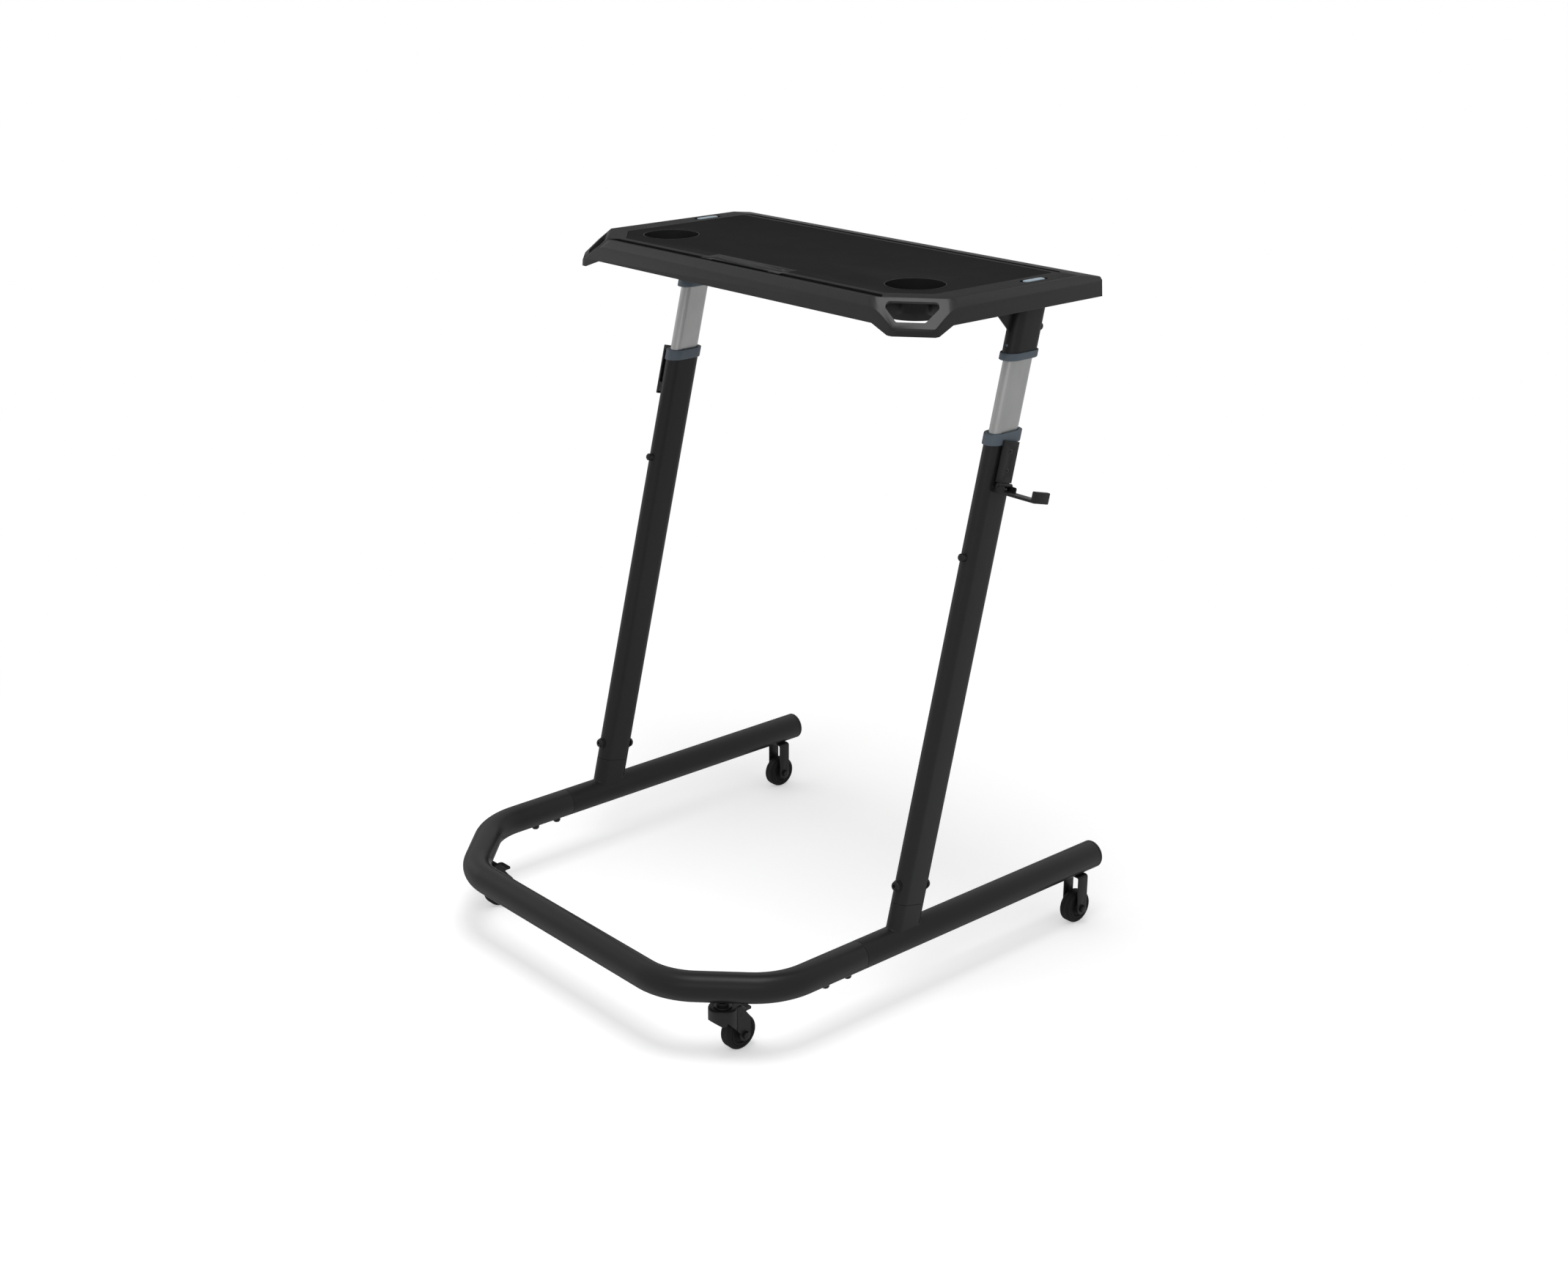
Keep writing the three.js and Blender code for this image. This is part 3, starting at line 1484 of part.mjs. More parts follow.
function desktop() {
  const above = deskTop + overrun;
  const ceiling = deskTop;
  const ribBottom = deskBottom + desk.ribLift;
  const half = desk.ribThickness / 2;
  const cupOuter = cup.radius + cup.wall;
  const upperLimit = [deskHalfWidth, deskFarY, ceiling];
  const keepers = [
    ...ribXShares.map((share) => share * deskHalfWidth).map((x) => (
      block([x - half, deskNearY, ribBottom], [x + half, deskFarY, ceiling])
    )),
    ...ribYShares.map((share) => deskNearY + share * desk.depth).map((y) => (
      block([-deskHalfWidth, y - half, ribBottom], [deskHalfWidth, y + half, ceiling])
    )),
    grooveBox(nearGroove, nearGrooveY, desk.grooveWall, ceiling),
    grooveBox(farGroove, farGrooveY, desk.grooveWall, ceiling),
  ];
  const bossBottom = flangeTop + desk.padLift;
  for (const sign of [-1, 1]) {
    keepers.push(uprightRod(sign * cupX, cupY, deskBottom - overrun, ceiling, cupOuter, cup.sides));
    for (const [x, y] of flangeScrews()) {
      const middle = sign * base.halfWidth + x;
      keepers.push(uprightRod(middle, y, bossBottom, ceiling, flange.bossRadius, smallSides));
    }
  }
  let hollow = deskForm(desk.wall, desk.deck + mat.thickness, handle.facePlate);
  hollow = cut(hollow, keepers);
  for (const sign of [-1, 1]) {
    const matrix = cornerPlanMatrix(sign);
    const low = handleFloor - overrun;
    const outer = prism(pocketOutline(desk.ribThickness, 0), low, ceiling).applyMatrix4(matrix);
    const inner = prism(pocketOutline(0, overrun), low - overrun, above).applyMatrix4(matrix);
    const wallRing = cut(solidOf(outer), [inner]);
    const kept = solidOf(block([-deskHalfWidth, deskNearY, ribBottom], upperLimit));
    hollow = hollow.subtract(wallRing.intersect(kept));
  }
  let body = deskForm(0, 0, 0).subtract(hollow);
  const cupBottom = deskTop - cup.depth - cup.wall;
  for (const sign of [-1, 1]) {
    const well = uprightRod(sign * cupX, cupY, cupBottom, deskTop - mat.thickness, cupOuter, cup.sides);
    body = body.add(solidOf(well));
  }
  const matFloor = deskTop - mat.thickness - mat.sink - seatGap;
  const rimOuter = cup.radius + cup.rimWidth;
  let recess = solidOf(prism(roundedShape(matCorners(mat.edgeGap), mat.cornerRadius), matFloor, above));
  for (const sign of [-1, 1]) {
    const rim = uprightRod(sign * cupX, cupY, matFloor - overrun, above + overrun, rimOuter, cup.sides);
    recess = recess.subtract(solidOf(rim));
  }
  const plateFloor = deskTop - stopPlate.thickness - seatGap;
  const cutters = [
    grooveBox(nearGroove, nearGrooveY, 0, above),
    grooveBox(farGroove, farGrooveY, 0, above),
    prism(plainShape(stopPlateCorners(seatGap)), plateFloor, above),
  ];
  const badgeShape = capsule(badge.recessLength, badge.recessWidth);
  const badgeFloor = deskTop - badge.recessDepth;
  const screwFloor = plateFloor - overrun;
  const { screwRadius } = stopPlate;
  for (const sign of [-1, 1]) {
    const badgeCut = prism(badgeShape, badgeFloor, above, capsuleSteps);
    cutters.push(badgeCut.translate(sign * badgeX, badgeY, 0));
    cutters.push(uprightRod(sign * cupX, cupY, deskTop - cup.depth, above, cup.radius, cup.sides));
    cutters.push(uprightRod(sign * stopScrewX, stopScrewY, screwFloor, above, screwRadius, smallSides));
    cutters.push(gripHole(sign));
  }
  return geometryOf(cut(body.subtract(recess), cutters));
}

function deskMat() {
  const top = deskTop - mat.sink;
  const bottom = top - mat.thickness;
  const sheet = prism(roundedShape(matCorners(0), mat.cornerRadius), bottom, top);
  const cutters = [-1, 1].map((sign) => uprightRod(
    sign * cupX,
    cupY,
    bottom - overrun,
    top + overrun,
    cup.radius + cup.rimWidth + mat.edgeGap,
    cup.sides,
  ));
  cutters.push(prism(plainShape(stopPlateCorners(mat.edgeGap)), bottom - overrun, top + overrun));
  return geometryOf(cut(solidOf(sheet), cutters));
}

function tabletStop() {
  const top = deskTop;
  const bottom = top - stopPlate.thickness;
  const plate = prism(plainShape(stopPlateCorners(0)), bottom, top);
  const cutters = [-1, 1].map((sign) => turned([
    [0, bottom - overrun],
    [stopPlate.screwRadius, bottom - overrun],
    [stopPlate.screwRadius, top - stopPlate.screwHeadRadius / 2],
    [stopPlate.screwHeadRadius, top + seatGap],
    [0, top + seatGap],
  ], smallSides).translate(sign * stopScrewX, stopScrewY, 0));
  return geometryOf(cut(solidOf(plate), cutters));
}

function blankBadge() {
  const bottom = deskTop - badge.recessDepth + seatGap;
  return prism(capsule(badge.length, badge.width), bottom, deskTop + badge.proud, capsuleSteps);
}

// Assembly

const trainerDesk = new THREE.Group();
const sides = [{ name: 'left', sign: -1 }, { name: 'right', sign: 1 }];

trainerDesk.add(mesh('front_tube', frontTube(), blackSteel));

for (const side of sides) {
  const x = side.sign * base.halfWidth;

  const beam = new THREE.Group();
  beam.position.x = x;
  beam.add(mesh(`side_tube_${side.name}`, sideTube(), blackSteel));
  beam.add(mesh(`joining_sleeve_${side.name}`, joiningSleeve(), blackSteel));
  const cap = mesh(`end_cap_${side.name}`, tubeEndCap(), blackPlastic);
  cap.position.set(0, base.endY, axisHeight);
  beam.add(cap);
  sleeve.boltYs.forEach((y, place) => {
    const bolt = mesh(`sleeve_bolt_${side.name}_${place + 1}`, buttonBolt(sleeveBolt), boltSteel);
    bolt.position.set(0, y, axisHeight - base.tubeRadius);
    bolt.rotation.x = Math.PI;
    beam.add(bolt);
  });
  trainerDesk.add(beam);

  const legFrame = legGroup(side);
  legFrame.add(mesh(`lower_leg_tube_${side.name}`, lowerLegTube(side), blackSteel));
  legFrame.add(mesh(`lower_collar_${side.name}`, lowerCollar(), bluePlastic));
  legFrame.add(mesh(`silver_tube_${side.name}`, silverTube(), silver));
  legFrame.add(mesh(`upper_collar_${side.name}`, upperCollar(), bluePlastic));
  for (const [end, place] of [[-1, 1], [1, 2]]) {
    const bolt = mesh(`foot_bolt_${side.name}_${place}`, buttonBolt(footBolt), boltSteel);
    bolt.position.set(0, end * legNoseTip, footBolt.along);
    bolt.rotation.x = -end * Math.PI / 2;
    legFrame.add(bolt);
  }
  const pin = mesh(`lock_pin_${side.name}`, legLockPin(), boltSteel);
  pin.position.set(0, -legNoseTip - lockPin.ferruleHeight, lockAlong);
  pin.rotation.x = Math.PI / 2;
  legFrame.add(pin);
  const topBolt = mesh(`upper_bolt_${side.name}`, buttonBolt(upperBolt), boltSteel);
  topBolt.position.set(0, legNoseTip, upperBoltAlong);
  topBolt.rotation.x = -Math.PI / 2;
  legFrame.add(topBolt);

  const hookFrame = new THREE.Group();
  hookFrame.position.set(side.sign * hook.pivotOut, 0, pivotAlong);
  hookFrame.rotation.z = side.sign > 0 ? 0 : Math.PI;
  hookFrame.add(mesh(`hook_bracket_${side.name}`, hookBracket(), blackSteel));
  hookFrame.add(mesh(`hook_pin_${side.name}`, hookPin(), boltSteel));
  hook.screwRises.forEach((height, place) => {
    const screw = mesh(`bracket_screw_${side.name}_${place + 1}`, bracketScrew(), boltSteel);
    screw.position.z = height;
    hookFrame.add(screw);
  });
  const arm = mesh(`hook_arm_${side.name}`, hookArm(), blackSteel);
  arm.rotation.y = side.sign > 0 ? 0 : -THREE.MathUtils.degToRad(hook.foldDegrees);
  hookFrame.add(arm);
  legFrame.add(hookFrame);
  trainerDesk.add(legFrame);

  const upper = mesh(`upper_leg_tube_${side.name}`, upperLegTube(), blackSteel);
  upper.position.x = x;
  trainerDesk.add(upper);

  const rearCaster = new THREE.Group();
  rearCaster.position.set(x, rearFork.y, 0);
  rearCaster.add(mesh(`rear_fork_${side.name}`, rearCasterFork(), blackSteel));
  const rearReach = rearFork.halfWidth - rearFork.metal - slideGap;
  const rearWheel = mesh(`rear_wheel_${side.name}`, casterWheel(rearReach), wheelRubber);
  const rearAxle = mesh(`rear_axle_${side.name}`, casterAxle(rearFork.halfWidth), boltSteel);
  rearWheel.position.z = wheel.radius;
  rearAxle.position.z = wheel.radius;
  rearCaster.add(rearWheel, rearAxle);
  trainerDesk.add(rearCaster);

  const frontCaster = new THREE.Group();
  frontCaster.position.set(side.sign * swivelX, swivelY, 0);
  frontCaster.add(mesh(`caster_stem_${side.name}`, casterStem(), boltSteel));
  frontCaster.add(mesh(`front_fork_${side.name}`, frontCasterFork(), blackSteel));
  frontCaster.add(mesh(`brake_pedal_${side.name}`, brakePedal(), blackSteel));
  const frontReach = frontFork.halfWidth - frontFork.metal - slideGap;
  const frontWheel = mesh(`front_wheel_${side.name}`, casterWheel(frontReach), wheelRubber);
  const frontAxle = mesh(`front_axle_${side.name}`, casterAxle(frontFork.halfWidth), boltSteel);
  frontWheel.position.set(0, frontFork.trail, wheel.radius);
  frontAxle.position.set(0, frontFork.trail, wheel.radius);
  frontCaster.add(frontWheel, frontAxle);
  trainerDesk.add(frontCaster);

  const plaque = mesh(`badge_${side.name}`, blankBadge(), badgePlastic);
  plaque.position.set(side.sign * badgeX, badgeY, 0);
  trainerDesk.add(plaque);
}

trainerDesk.add(mesh('desktop', desktop(), blackPlastic));
trainerDesk.add(mesh('desk_mat', deskMat(), matRubber));
trainerDesk.add(mesh('tablet_stop', tabletStop(), blackPlastic));

// The frame's origin lies on the floor, below the middle of the whole desk's bounding box. The
// right hook, folded out, is the widest point on its side.
const hookReach = base.halfWidth + hook.pivotOut + hook.armReach;
const openEnd = base.endY + seatGap + endCap.flange;
trainerDesk.position.set(
  (deskHalfWidth - hookReach) / 2,
  (base.tubeRadius - openEnd) / 2,
  0,
);

export default trainerDesk;
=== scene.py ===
import math

import bmesh
import bpy
from mathutils import Matrix, Vector


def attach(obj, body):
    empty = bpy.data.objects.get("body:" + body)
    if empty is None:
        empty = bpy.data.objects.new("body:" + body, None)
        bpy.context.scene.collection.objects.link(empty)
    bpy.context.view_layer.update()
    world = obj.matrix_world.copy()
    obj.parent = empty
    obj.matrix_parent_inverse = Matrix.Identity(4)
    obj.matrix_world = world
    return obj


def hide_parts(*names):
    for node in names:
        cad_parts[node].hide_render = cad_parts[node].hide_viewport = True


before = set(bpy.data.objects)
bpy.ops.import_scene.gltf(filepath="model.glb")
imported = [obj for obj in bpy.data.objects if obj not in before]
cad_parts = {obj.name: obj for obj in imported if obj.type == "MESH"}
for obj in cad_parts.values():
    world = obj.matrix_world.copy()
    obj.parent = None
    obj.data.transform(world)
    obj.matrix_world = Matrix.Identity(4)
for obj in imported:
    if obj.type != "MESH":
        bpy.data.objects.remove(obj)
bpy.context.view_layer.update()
print("frame loaded:", len(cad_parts), "nodes")

# Pieces are drawn in millimetres with zero below the crossbar's middle, then put in the row frame.
place = {"x": -32.6, "y": -426.4, "scale": 0.001, "gap": 0.3, "overrun": 3.0}
gap = place["gap"]
toRow = Matrix.Scale(place["scale"], 4) @ Matrix.Translation((place["x"], place["y"], 0))
sides = (("left", -1), ("right", 1))
xAxis, yAxis, zAxis = Vector((1, 0, 0)), Vector((0, 1, 0)), Vector((0, 0, 1))


# Node helpers. An input is given a plain value, or the socket that feeds it.

def feed(tree, node, inputs):
    for name, value in dict(inputs).items():
        if isinstance(value, bpy.types.NodeSocket):
            tree.links.new(value, node.inputs[name])
        else:
            node.inputs[name].default_value = value


def nodeOf(tree, kind, inputs=(), **settings):
    node = tree.nodes.new(kind)
    for name, value in settings.items():
        setattr(node, name, value)
    feed(tree, node, inputs)
    return node


def newTree(kind, name, inputs, outputs):
    tree = bpy.data.node_groups.new(name, kind)
    for way, sockets in (("INPUT", inputs), ("OUTPUT", outputs)):
        for label, shape in sockets:
            tree.interface.new_socket(name=label, in_out=way, socket_type="NodeSocket" + shape)
    return tree, tree.nodes.new("NodeGroupInput").outputs, tree.nodes.new("NodeGroupOutput")


def mathNode(tree, operation, *values, clamp=False):
    inputs = dict(enumerate(values))
    return nodeOf(tree, "ShaderNodeMath", inputs, operation=operation, use_clamp=clamp).outputs[0]


def noiseNode(tree, vector, scale, detail, roughness):
    inputs = {"Vector": vector, "Scale": scale, "Detail": detail, "Roughness": roughness}
    return nodeOf(tree, "ShaderNodeTexNoise", inputs).outputs["Fac"]


# Shader groups

skin = {"grain": (3.0, 0.6), "blotch": (4.0, 0.55), "fineShare": 0.6}


# Fine pebbled skin: powder coat, moulded plastic and rubber differ in its size and depth.
def skinGroup():
    tree, given, result = newTree("ShaderNodeTree", "fineSkin", [
        ("Vector", "Vector"), ("Colour", "Color"), ("Grain Size", "Float"), ("Grain Height", "Float"),
        ("Blotch Size", "Float"), ("Colour Spread", "Float"), ("Roughness", "Float"),
        ("Roughness Spread", "Float"),
    ], [("Colour", "Color"), ("Roughness", "Float"), ("Height", "Float")])
    where, size = given["Vector"], given["Grain Size"]
    pebble = nodeOf(tree, "ShaderNodeTexVoronoi", {"Vector": where, "Scale": size}, feature="SMOOTH_F1")
    grain = noiseNode(tree, where, size, *skin["grain"])
    mixed = mathNode(tree, "ADD", pebble.outputs["Distance"], grain)
    blotch = noiseNode(tree, where, given["Blotch Size"], *skin["blotch"])
    centred = mathNode(tree, "SUBTRACT", blotch, 0.5)
    fine = mathNode(tree, "SUBTRACT", grain, 0.5)
    change = mathNode(tree, "ADD", centred, mathNode(tree, "MULTIPLY", fine, skin["fineShare"]))
    factor = mathNode(tree, "MULTIPLY_ADD", change, given["Colour Spread"], 1.0)
    shade = nodeOf(tree, "ShaderNodeVectorMath", {0: given["Colour"], "Scale": factor}, operation="SCALE")
    spread, rough = given["Roughness Spread"], given["Roughness"]
    feed(tree, result, {
        "Colour": shade.outputs[0],
        "Roughness": mathNode(tree, "MULTIPLY_ADD", change, spread, rough, clamp=True),
        "Height": mathNode(tree, "MULTIPLY", mixed, given["Grain Height"]),
    })
    return tree


rub = {"from": 0.52, "gain": 9.0, "patch": (60.0, 4.0, 0.6)}


# Light rubbing where an edge stands proud.
def wearGroup():
    tree, given, result = newTree("ShaderNodeTree", "edgeWear", [
        ("Vector", "Vector"), ("Colour", "Color"), ("Rubbed Colour", "Color"), ("Amount", "Float"),
    ], [("Colour", "Color")])
    shape = tree.nodes.new("ShaderNodeNewGeometry")
    proud = mathNode(tree, "SUBTRACT", shape.outputs["Pointiness"], rub["from"])
    proud = mathNode(tree, "MULTIPLY", proud, rub["gain"], clamp=True)
    patch = noiseNode(tree, given["Vector"], *rub["patch"])
    patchy = mathNode(tree, "MULTIPLY", proud, patch)
    mask = mathNode(tree, "MULTIPLY", patchy, given["Amount"], clamp=True)
    colours = {0: mask, 6: given["Colour"], 7: given["Rubbed Colour"]}
    mix = nodeOf(tree, "ShaderNodeMix", colours, data_type="RGBA")
    feed(tree, result, {"Colour": mix.outputs[2]})
    return tree


fineSkin = skinGroup()
edgeWear = wearGroup()

# The values of each finish stand in this order; the bump's height is in metres.
looks = (
    "Rubbed Colour", "Amount", "Colour", "Grain Size", "Grain Height", "Blotch Size", "Colour Spread",
    "Roughness", "Roughness Spread", "metallic", "gloss", "glancing", "bump",
)
finishes = {
    "black_steel": (
        (0.03, 0.03, 0.03, 1), 0.3, (0.0135, 0.0135, 0.0138, 1), 1500.0, 0.35, 9.0, 0.14,
        0.33, 0.08, 0.0, 0.15, 0.01, 0.00006,
    ),
    "black_plastic": (
        (0.03, 0.03, 0.03, 1), 0.25, (0.0105, 0.0105, 0.0107, 1), 1100.0, 0.6, 12.0, 0.16,
        0.32, 0.08, 0.0, 0.21, 0.002, 0.00008,
    ),
    "mat_rubber": (
        (0.025, 0.025, 0.025, 1), 0.2, (0.0195, 0.0195, 0.0197, 1), 1400.0, 0.9, 18.0, 0.2,
        0.85, 0.06, 0.0, 0.02, 0.0, 0.00012,
    ),
    "wheel_rubber": (
        (0.025, 0.025, 0.025, 1), 0.4, (0.0095, 0.0095, 0.0097, 1), 900.0, 0.6, 40.0, 0.25,
        0.55, 0.1, 0.0, 0.1, 0.01, 0.0001,
    ),
    "blue_plastic": (
        (0.15, 0.17, 0.19, 1), 0.3, (0.085, 0.107, 0.13, 1), 1100.0, 0.6, 30.0, 0.2,
        0.5, 0.08, 0.0, 0.3, 0.03, 0.00008,
    ),
    "badge_plastic": (
        (0.5, 0.53, 0.55, 1), 0.2, (0.24, 0.3, 0.345, 1), 1800.0, 0.3, 60.0, 0.08,
        0.42, 0.06, 0.0, 0.3, 0.05, 0.00004,
    ),
    "bolt_steel": (
        (0.1, 0.1, 0.1, 1), 0.4, (0.012, 0.012, 0.013, 1), 1600.0, 0.25, 90.0, 0.3,
        0.34, 0.1, 0.2, 0.2, 0.05, 0.00004,
    ),
}
glance = {"from": 0.4, "to": 0.74}


def newMaterial(name):
    material = bpy.data.materials.new(name)
    material.use_nodes = True
    tree = material.node_tree
    where = tree.nodes.new("ShaderNodeTexCoord").outputs["Object"]
    return material, tree, tree.nodes["Principled BSDF"], where


def bumpNode(tree, height, distance):
    return nodeOf(tree, "ShaderNodeBump", {"Height": height, "Distance": distance}).outputs["Normal"]


def skinMaterial(name, values):
    finish = dict(zip(looks, values))
    material, tree, shader, where = newMaterial(name)
    coat = nodeOf(tree, "ShaderNodeGroup", node_tree=fineSkin)
    feed(tree, coat, {"Vector": where, **{label: finish[label] for label in looks[2:9]}})
    wear = nodeOf(tree, "ShaderNodeGroup", node_tree=edgeWear)
    feed(tree, wear, {
        "Vector": where, "Colour": coat.outputs["Colour"], **{label: finish[label] for label in looks[:2]},
    })
    # The gloss dies away at a glance, as the photograph shows on the flat rim and the mat.
    gloss = nodeOf(tree, "ShaderNodeMapRange", {
        "Value": tree.nodes.new("ShaderNodeLayerWeight").outputs["Facing"],
        "From Min": glance["from"], "From Max": glance["to"],
        "To Min": finish["gloss"], "To Max": finish["glancing"],
    })
    feed(tree, shader, {
        "Base Color": wear.outputs["Colour"],
        "Metallic": finish["metallic"],
        "Roughness": coat.outputs["Roughness"],
        "Specular IOR Level": gloss.outputs["Result"],
        "Normal": bumpNode(tree, coat.outputs["Height"], finish["bump"]),
    })
    return material


silverFinish = {
    "dark": (0.255, 0.26, 0.255, 1), "pale": (0.31, 0.315, 0.31, 1), "metallic": 0.85,
    "roughness": 0.36, "roughSpread": 0.12, "across": 900.0, "along": 6.0, "bump": 0.00003,
    "streak": (1.0, 3.0, 0.6), "cloud": (22.0, 3.0, 0.5), "share": 0.5, "ramp": (0.3, 0.7),
}


# Satin aluminium, drawn along the leg: fine streaks down its length.
def silverMaterial(lean):
    material, tree, shader, where = newMaterial("satinAluminium")
    across, along, share = silverFinish["across"], silverFinish["along"], silverFinish["share"]
    turn = nodeOf(tree, "ShaderNodeMapping", {"Vector": where, "Rotation": (lean, 0, 0)})
    stretch = nodeOf(tree, "ShaderNodeMapping", {"Vector": turn.outputs[0], "Scale": (across, across, along)})
    streak = noiseNode(tree, stretch.outputs[0], *silverFinish["streak"])
    cloud = noiseNode(tree, where, *silverFinish["cloud"])
    both = mathNode(tree, "MULTIPLY_ADD", cloud, share, mathNode(tree, "MULTIPLY", streak, share))
    ramp = nodeOf(tree, "ShaderNodeValToRGB", {"Fac": both})
    for number, shade in enumerate(("dark", "pale")):
        ramp.color_ramp.elements[number].position = silverFinish["ramp"][number]
        ramp.color_ramp.elements[number].color = silverFinish[shade]
    rough, spread = silverFinish["roughness"], silverFinish["roughSpread"]
    feed(tree, shader, {
        "Base Color": ramp.outputs["Color"],
        "Metallic": silverFinish["metallic"],
        "Roughness": mathNode(tree, "MULTIPLY_ADD", streak, spread, rough - spread / 2),
        "Normal": bumpNode(tree, streak, silverFinish["bump"]),
    })
    return material


leg = {
    "lean": math.radians(14), "footY": 395.4, "x": 403.2, "halfFlat": 16.0, "nose": 16.0,
    "wall": 2.0, "steps": 20, "seam": 62.0, "spigotTop": 130.0, "spigotWall": 2.5,
    "top": 951.0, "silverShown": 113.5, "upperHeight": 81.5, "edge": 0.4,
}

paints = {name: skinMaterial(name, values) for name, values in finishes.items()}
paints["silver_metal"] = silverMaterial(leg["lean"])
print("materials made:", len(paints))


# Mesh helpers

# Sine and cosine of the angles of a quarter turn.
def quarter(steps):
    angles = [math.pi / 2 * step / steps for step in range(steps + 1)]
    return [(math.sin(angle), math.cos(angle)) for angle in angles]


def reworked(mesh, work):
    form = bmesh.new()
    form.from_mesh(mesh)
    work(form)
    form.to_mesh(mesh)
    form.free()
    return mesh


def facedOut(form):
    bmesh.ops.recalc_face_normals(form, faces=form.faces)


def meshOf(name, points, faces):
    mesh = bpy.data.meshes.new(name)
    mesh.from_pydata([tuple(point) for point in points], [], faces)

    def work(form):
        bmesh.ops.remove_doubles(form, verts=form.verts, dist=0.0001)
        facedOut(form)

    return reworked(mesh, work)


def loft(rings, closed=False):
    count = len(rings[0])
    faces = []
    for ring in range(len(rings) if closed else len(rings) - 1):
        low, high = ring * count, ((ring + 1) % len(rings)) * count
        for step in range(count):
            after = (step + 1) % count
            faces.append((low + step, low + after, high + after, high + step))
    if not closed:
        faces.append(tuple(reversed(range(count))))
        faces.append(tuple(range((len(rings) - 1) * count, len(rings) * count)))
    return meshOf("loft", [point for ring in rings for point in ring], faces)


# A closed profile of (radius, height) pairs turned about Z.
def turned(profile, count=48):
    points, rings = [], []
    for radius, height in profile:
        if radius < 0.000001:
            rings.append([len(points)])
            points.append((0, 0, height))
            continue
        rings.append(list(range(len(points), len(points) + count)))
        for step in range(count):
            angle = 2 * math.pi * step / count
            points.append((radius * math.cos(angle), radius * math.sin(angle), height))
    faces = []
    for low, high in zip(rings, rings[1:] + rings[:1]):
        if len(low) == len(high) == 1:
            continue
        for step in range(count):
            after = (step + 1) % count
            corners = [(low, step), (low, after), (high, after), (high, step)]
            faces.append(tuple(dict.fromkeys(ring[spot % len(ring)] for ring, spot in corners)))
    return meshOf("turned", points, faces)


def prism(outline, bottom, top):
    return loft([[(x, y, bottom) for x, y in outline], [(x, y, top) for x, y in outline]])


# Corners of an outline rounded by true arcs; radius is one number or one for each corner.
def rounded(corners, radius, steps=6):
    outline = []
    count = len(corners)
    for number, corner in enumerate(corners):
        size = radius[number] if isinstance(radius, (list, tuple)) else radius
        here = Vector(corner)
        if size <= 0:
            outline.append(tuple(here))
            continue
        back = (Vector(corners[number - 1]) - here).normalized()
        ahead = (Vector(corners[(number + 1) % count]) - here).normalized()
        half = back.angle(ahead) / 2
        middle = here + (back + ahead).normalized() * size / math.sin(half)
        start = here + back * size / math.tan(half) - middle
        end = here + ahead * size / math.tan(half) - middle
        turn = math.atan2(start.x * end.y - start.y * end.x, start.dot(end))
        for step in range(steps + 1):
            angle = turn * step / steps
            outline.append((
                middle.x + start.x * math.cos(angle) - start.y * math.sin(angle),
                middle.y + start.x * math.sin(angle) + start.y * math.cos(angle),
            ))
    return outline


def rectangle(x0, y0, x1, y1):
    return [(x0, y0), (x1, y0), (x1, y1), (x0, y1)]


def block(low, high):
    return prism(rectangle(low[0], low[1], high[0], high[1]), low[2], high[2])


def rodMesh(start, end, radius, count=32):
    run = Vector(end) - Vector(start)
    mesh = turned([(0, 0), (radius, 0), (radius, run.length), (0, run.length)], count)
    turn = zAxis.rotation_difference(run.normalized()).to_matrix().to_4x4()
    return moved(mesh, Matrix.Translation(start) @ turn)


def upright(x, y, low, high, radius, count=48):
    rod = turned([(0, low), (radius, low), (radius, high), (0, high)], count)
    return moved(rod, Matrix.Translation((x, y, 0)))


def basis(x, y, z, at=(0, 0, 0)):
    matrix = Matrix((x, y, z)).transposed().to_4x4()
    matrix.translation = Vector(at)
    return matrix


acrossX = basis(yAxis, zAxis, xAxis)  # an outline drawn in YZ, thick along X
alongY = basis(xAxis, zAxis, -yAxis)  # an outline drawn in XZ, thick along Y
towardsFront = Matrix.Rotation(math.pi / 2, 4, "X")


def moved(mesh, matrix):
    mesh.transform(matrix)
    if matrix.determinant() < 0:
        mesh.flip_normals()
    return mesh


def shifted(mesh, x=0, y=0, z=0):
    return moved(mesh, Matrix.Translation((x, y, z)))


def standing(name, mesh):
    piece = bpy.data.objects.new(name, mesh)
    bpy.context.scene.collection.objects.link(piece)
    return piece


# The mesh that a piece's modifiers make; the piece itself goes.
def taken(piece):
    depsgraph = bpy.context.evaluated_depsgraph_get()
    mesh = bpy.data.meshes.new_from_object(piece.evaluated_get(depsgraph))
    bpy.data.objects.remove(piece)
    return mesh


def combined(first, others, operation):
    piece = standing("work", first)
    helpers = [standing("helper", other) for other in others]
    for helper in helpers:
        step = piece.modifiers.new("combine", "BOOLEAN")
        step.operation = operation
        step.solver = "MANIFOLD"
        step.object = helper
    mesh = taken(piece)
    for helper in helpers:
        bpy.data.objects.remove(helper)
    return mesh


def joined(meshes):
    return combined(meshes[0], meshes[1:], "UNION")


def cut(mesh, cutters):
    return combined(mesh, cutters, "DIFFERENCE")


def crossed(mesh, other):
    return combined(mesh, [other], "INTERSECT")


def gathered(meshes):
    form = bmesh.new()
    for mesh in meshes:
        form.from_mesh(mesh)
    whole = bpy.data.meshes.new("gathered")
    form.to_mesh(whole)
    form.free()
    return whole


def cleaned(mesh, degrees=0.4):
    def work(form):
        bmesh.ops.remove_doubles(form, verts=form.verts, dist=0.001)
        bmesh.ops.dissolve_limit(
            form, angle_limit=math.radians(degrees), verts=form.verts, edges=form.edges,
        )

    return reworked(mesh, work)


def shaped(mesh, kind, **settings):
    piece = standing("work", mesh)
    step = piece.modifiers.new("shape", kind)
    for name, value in settings.items():
        setattr(step, name, value)
    return taken(piece)


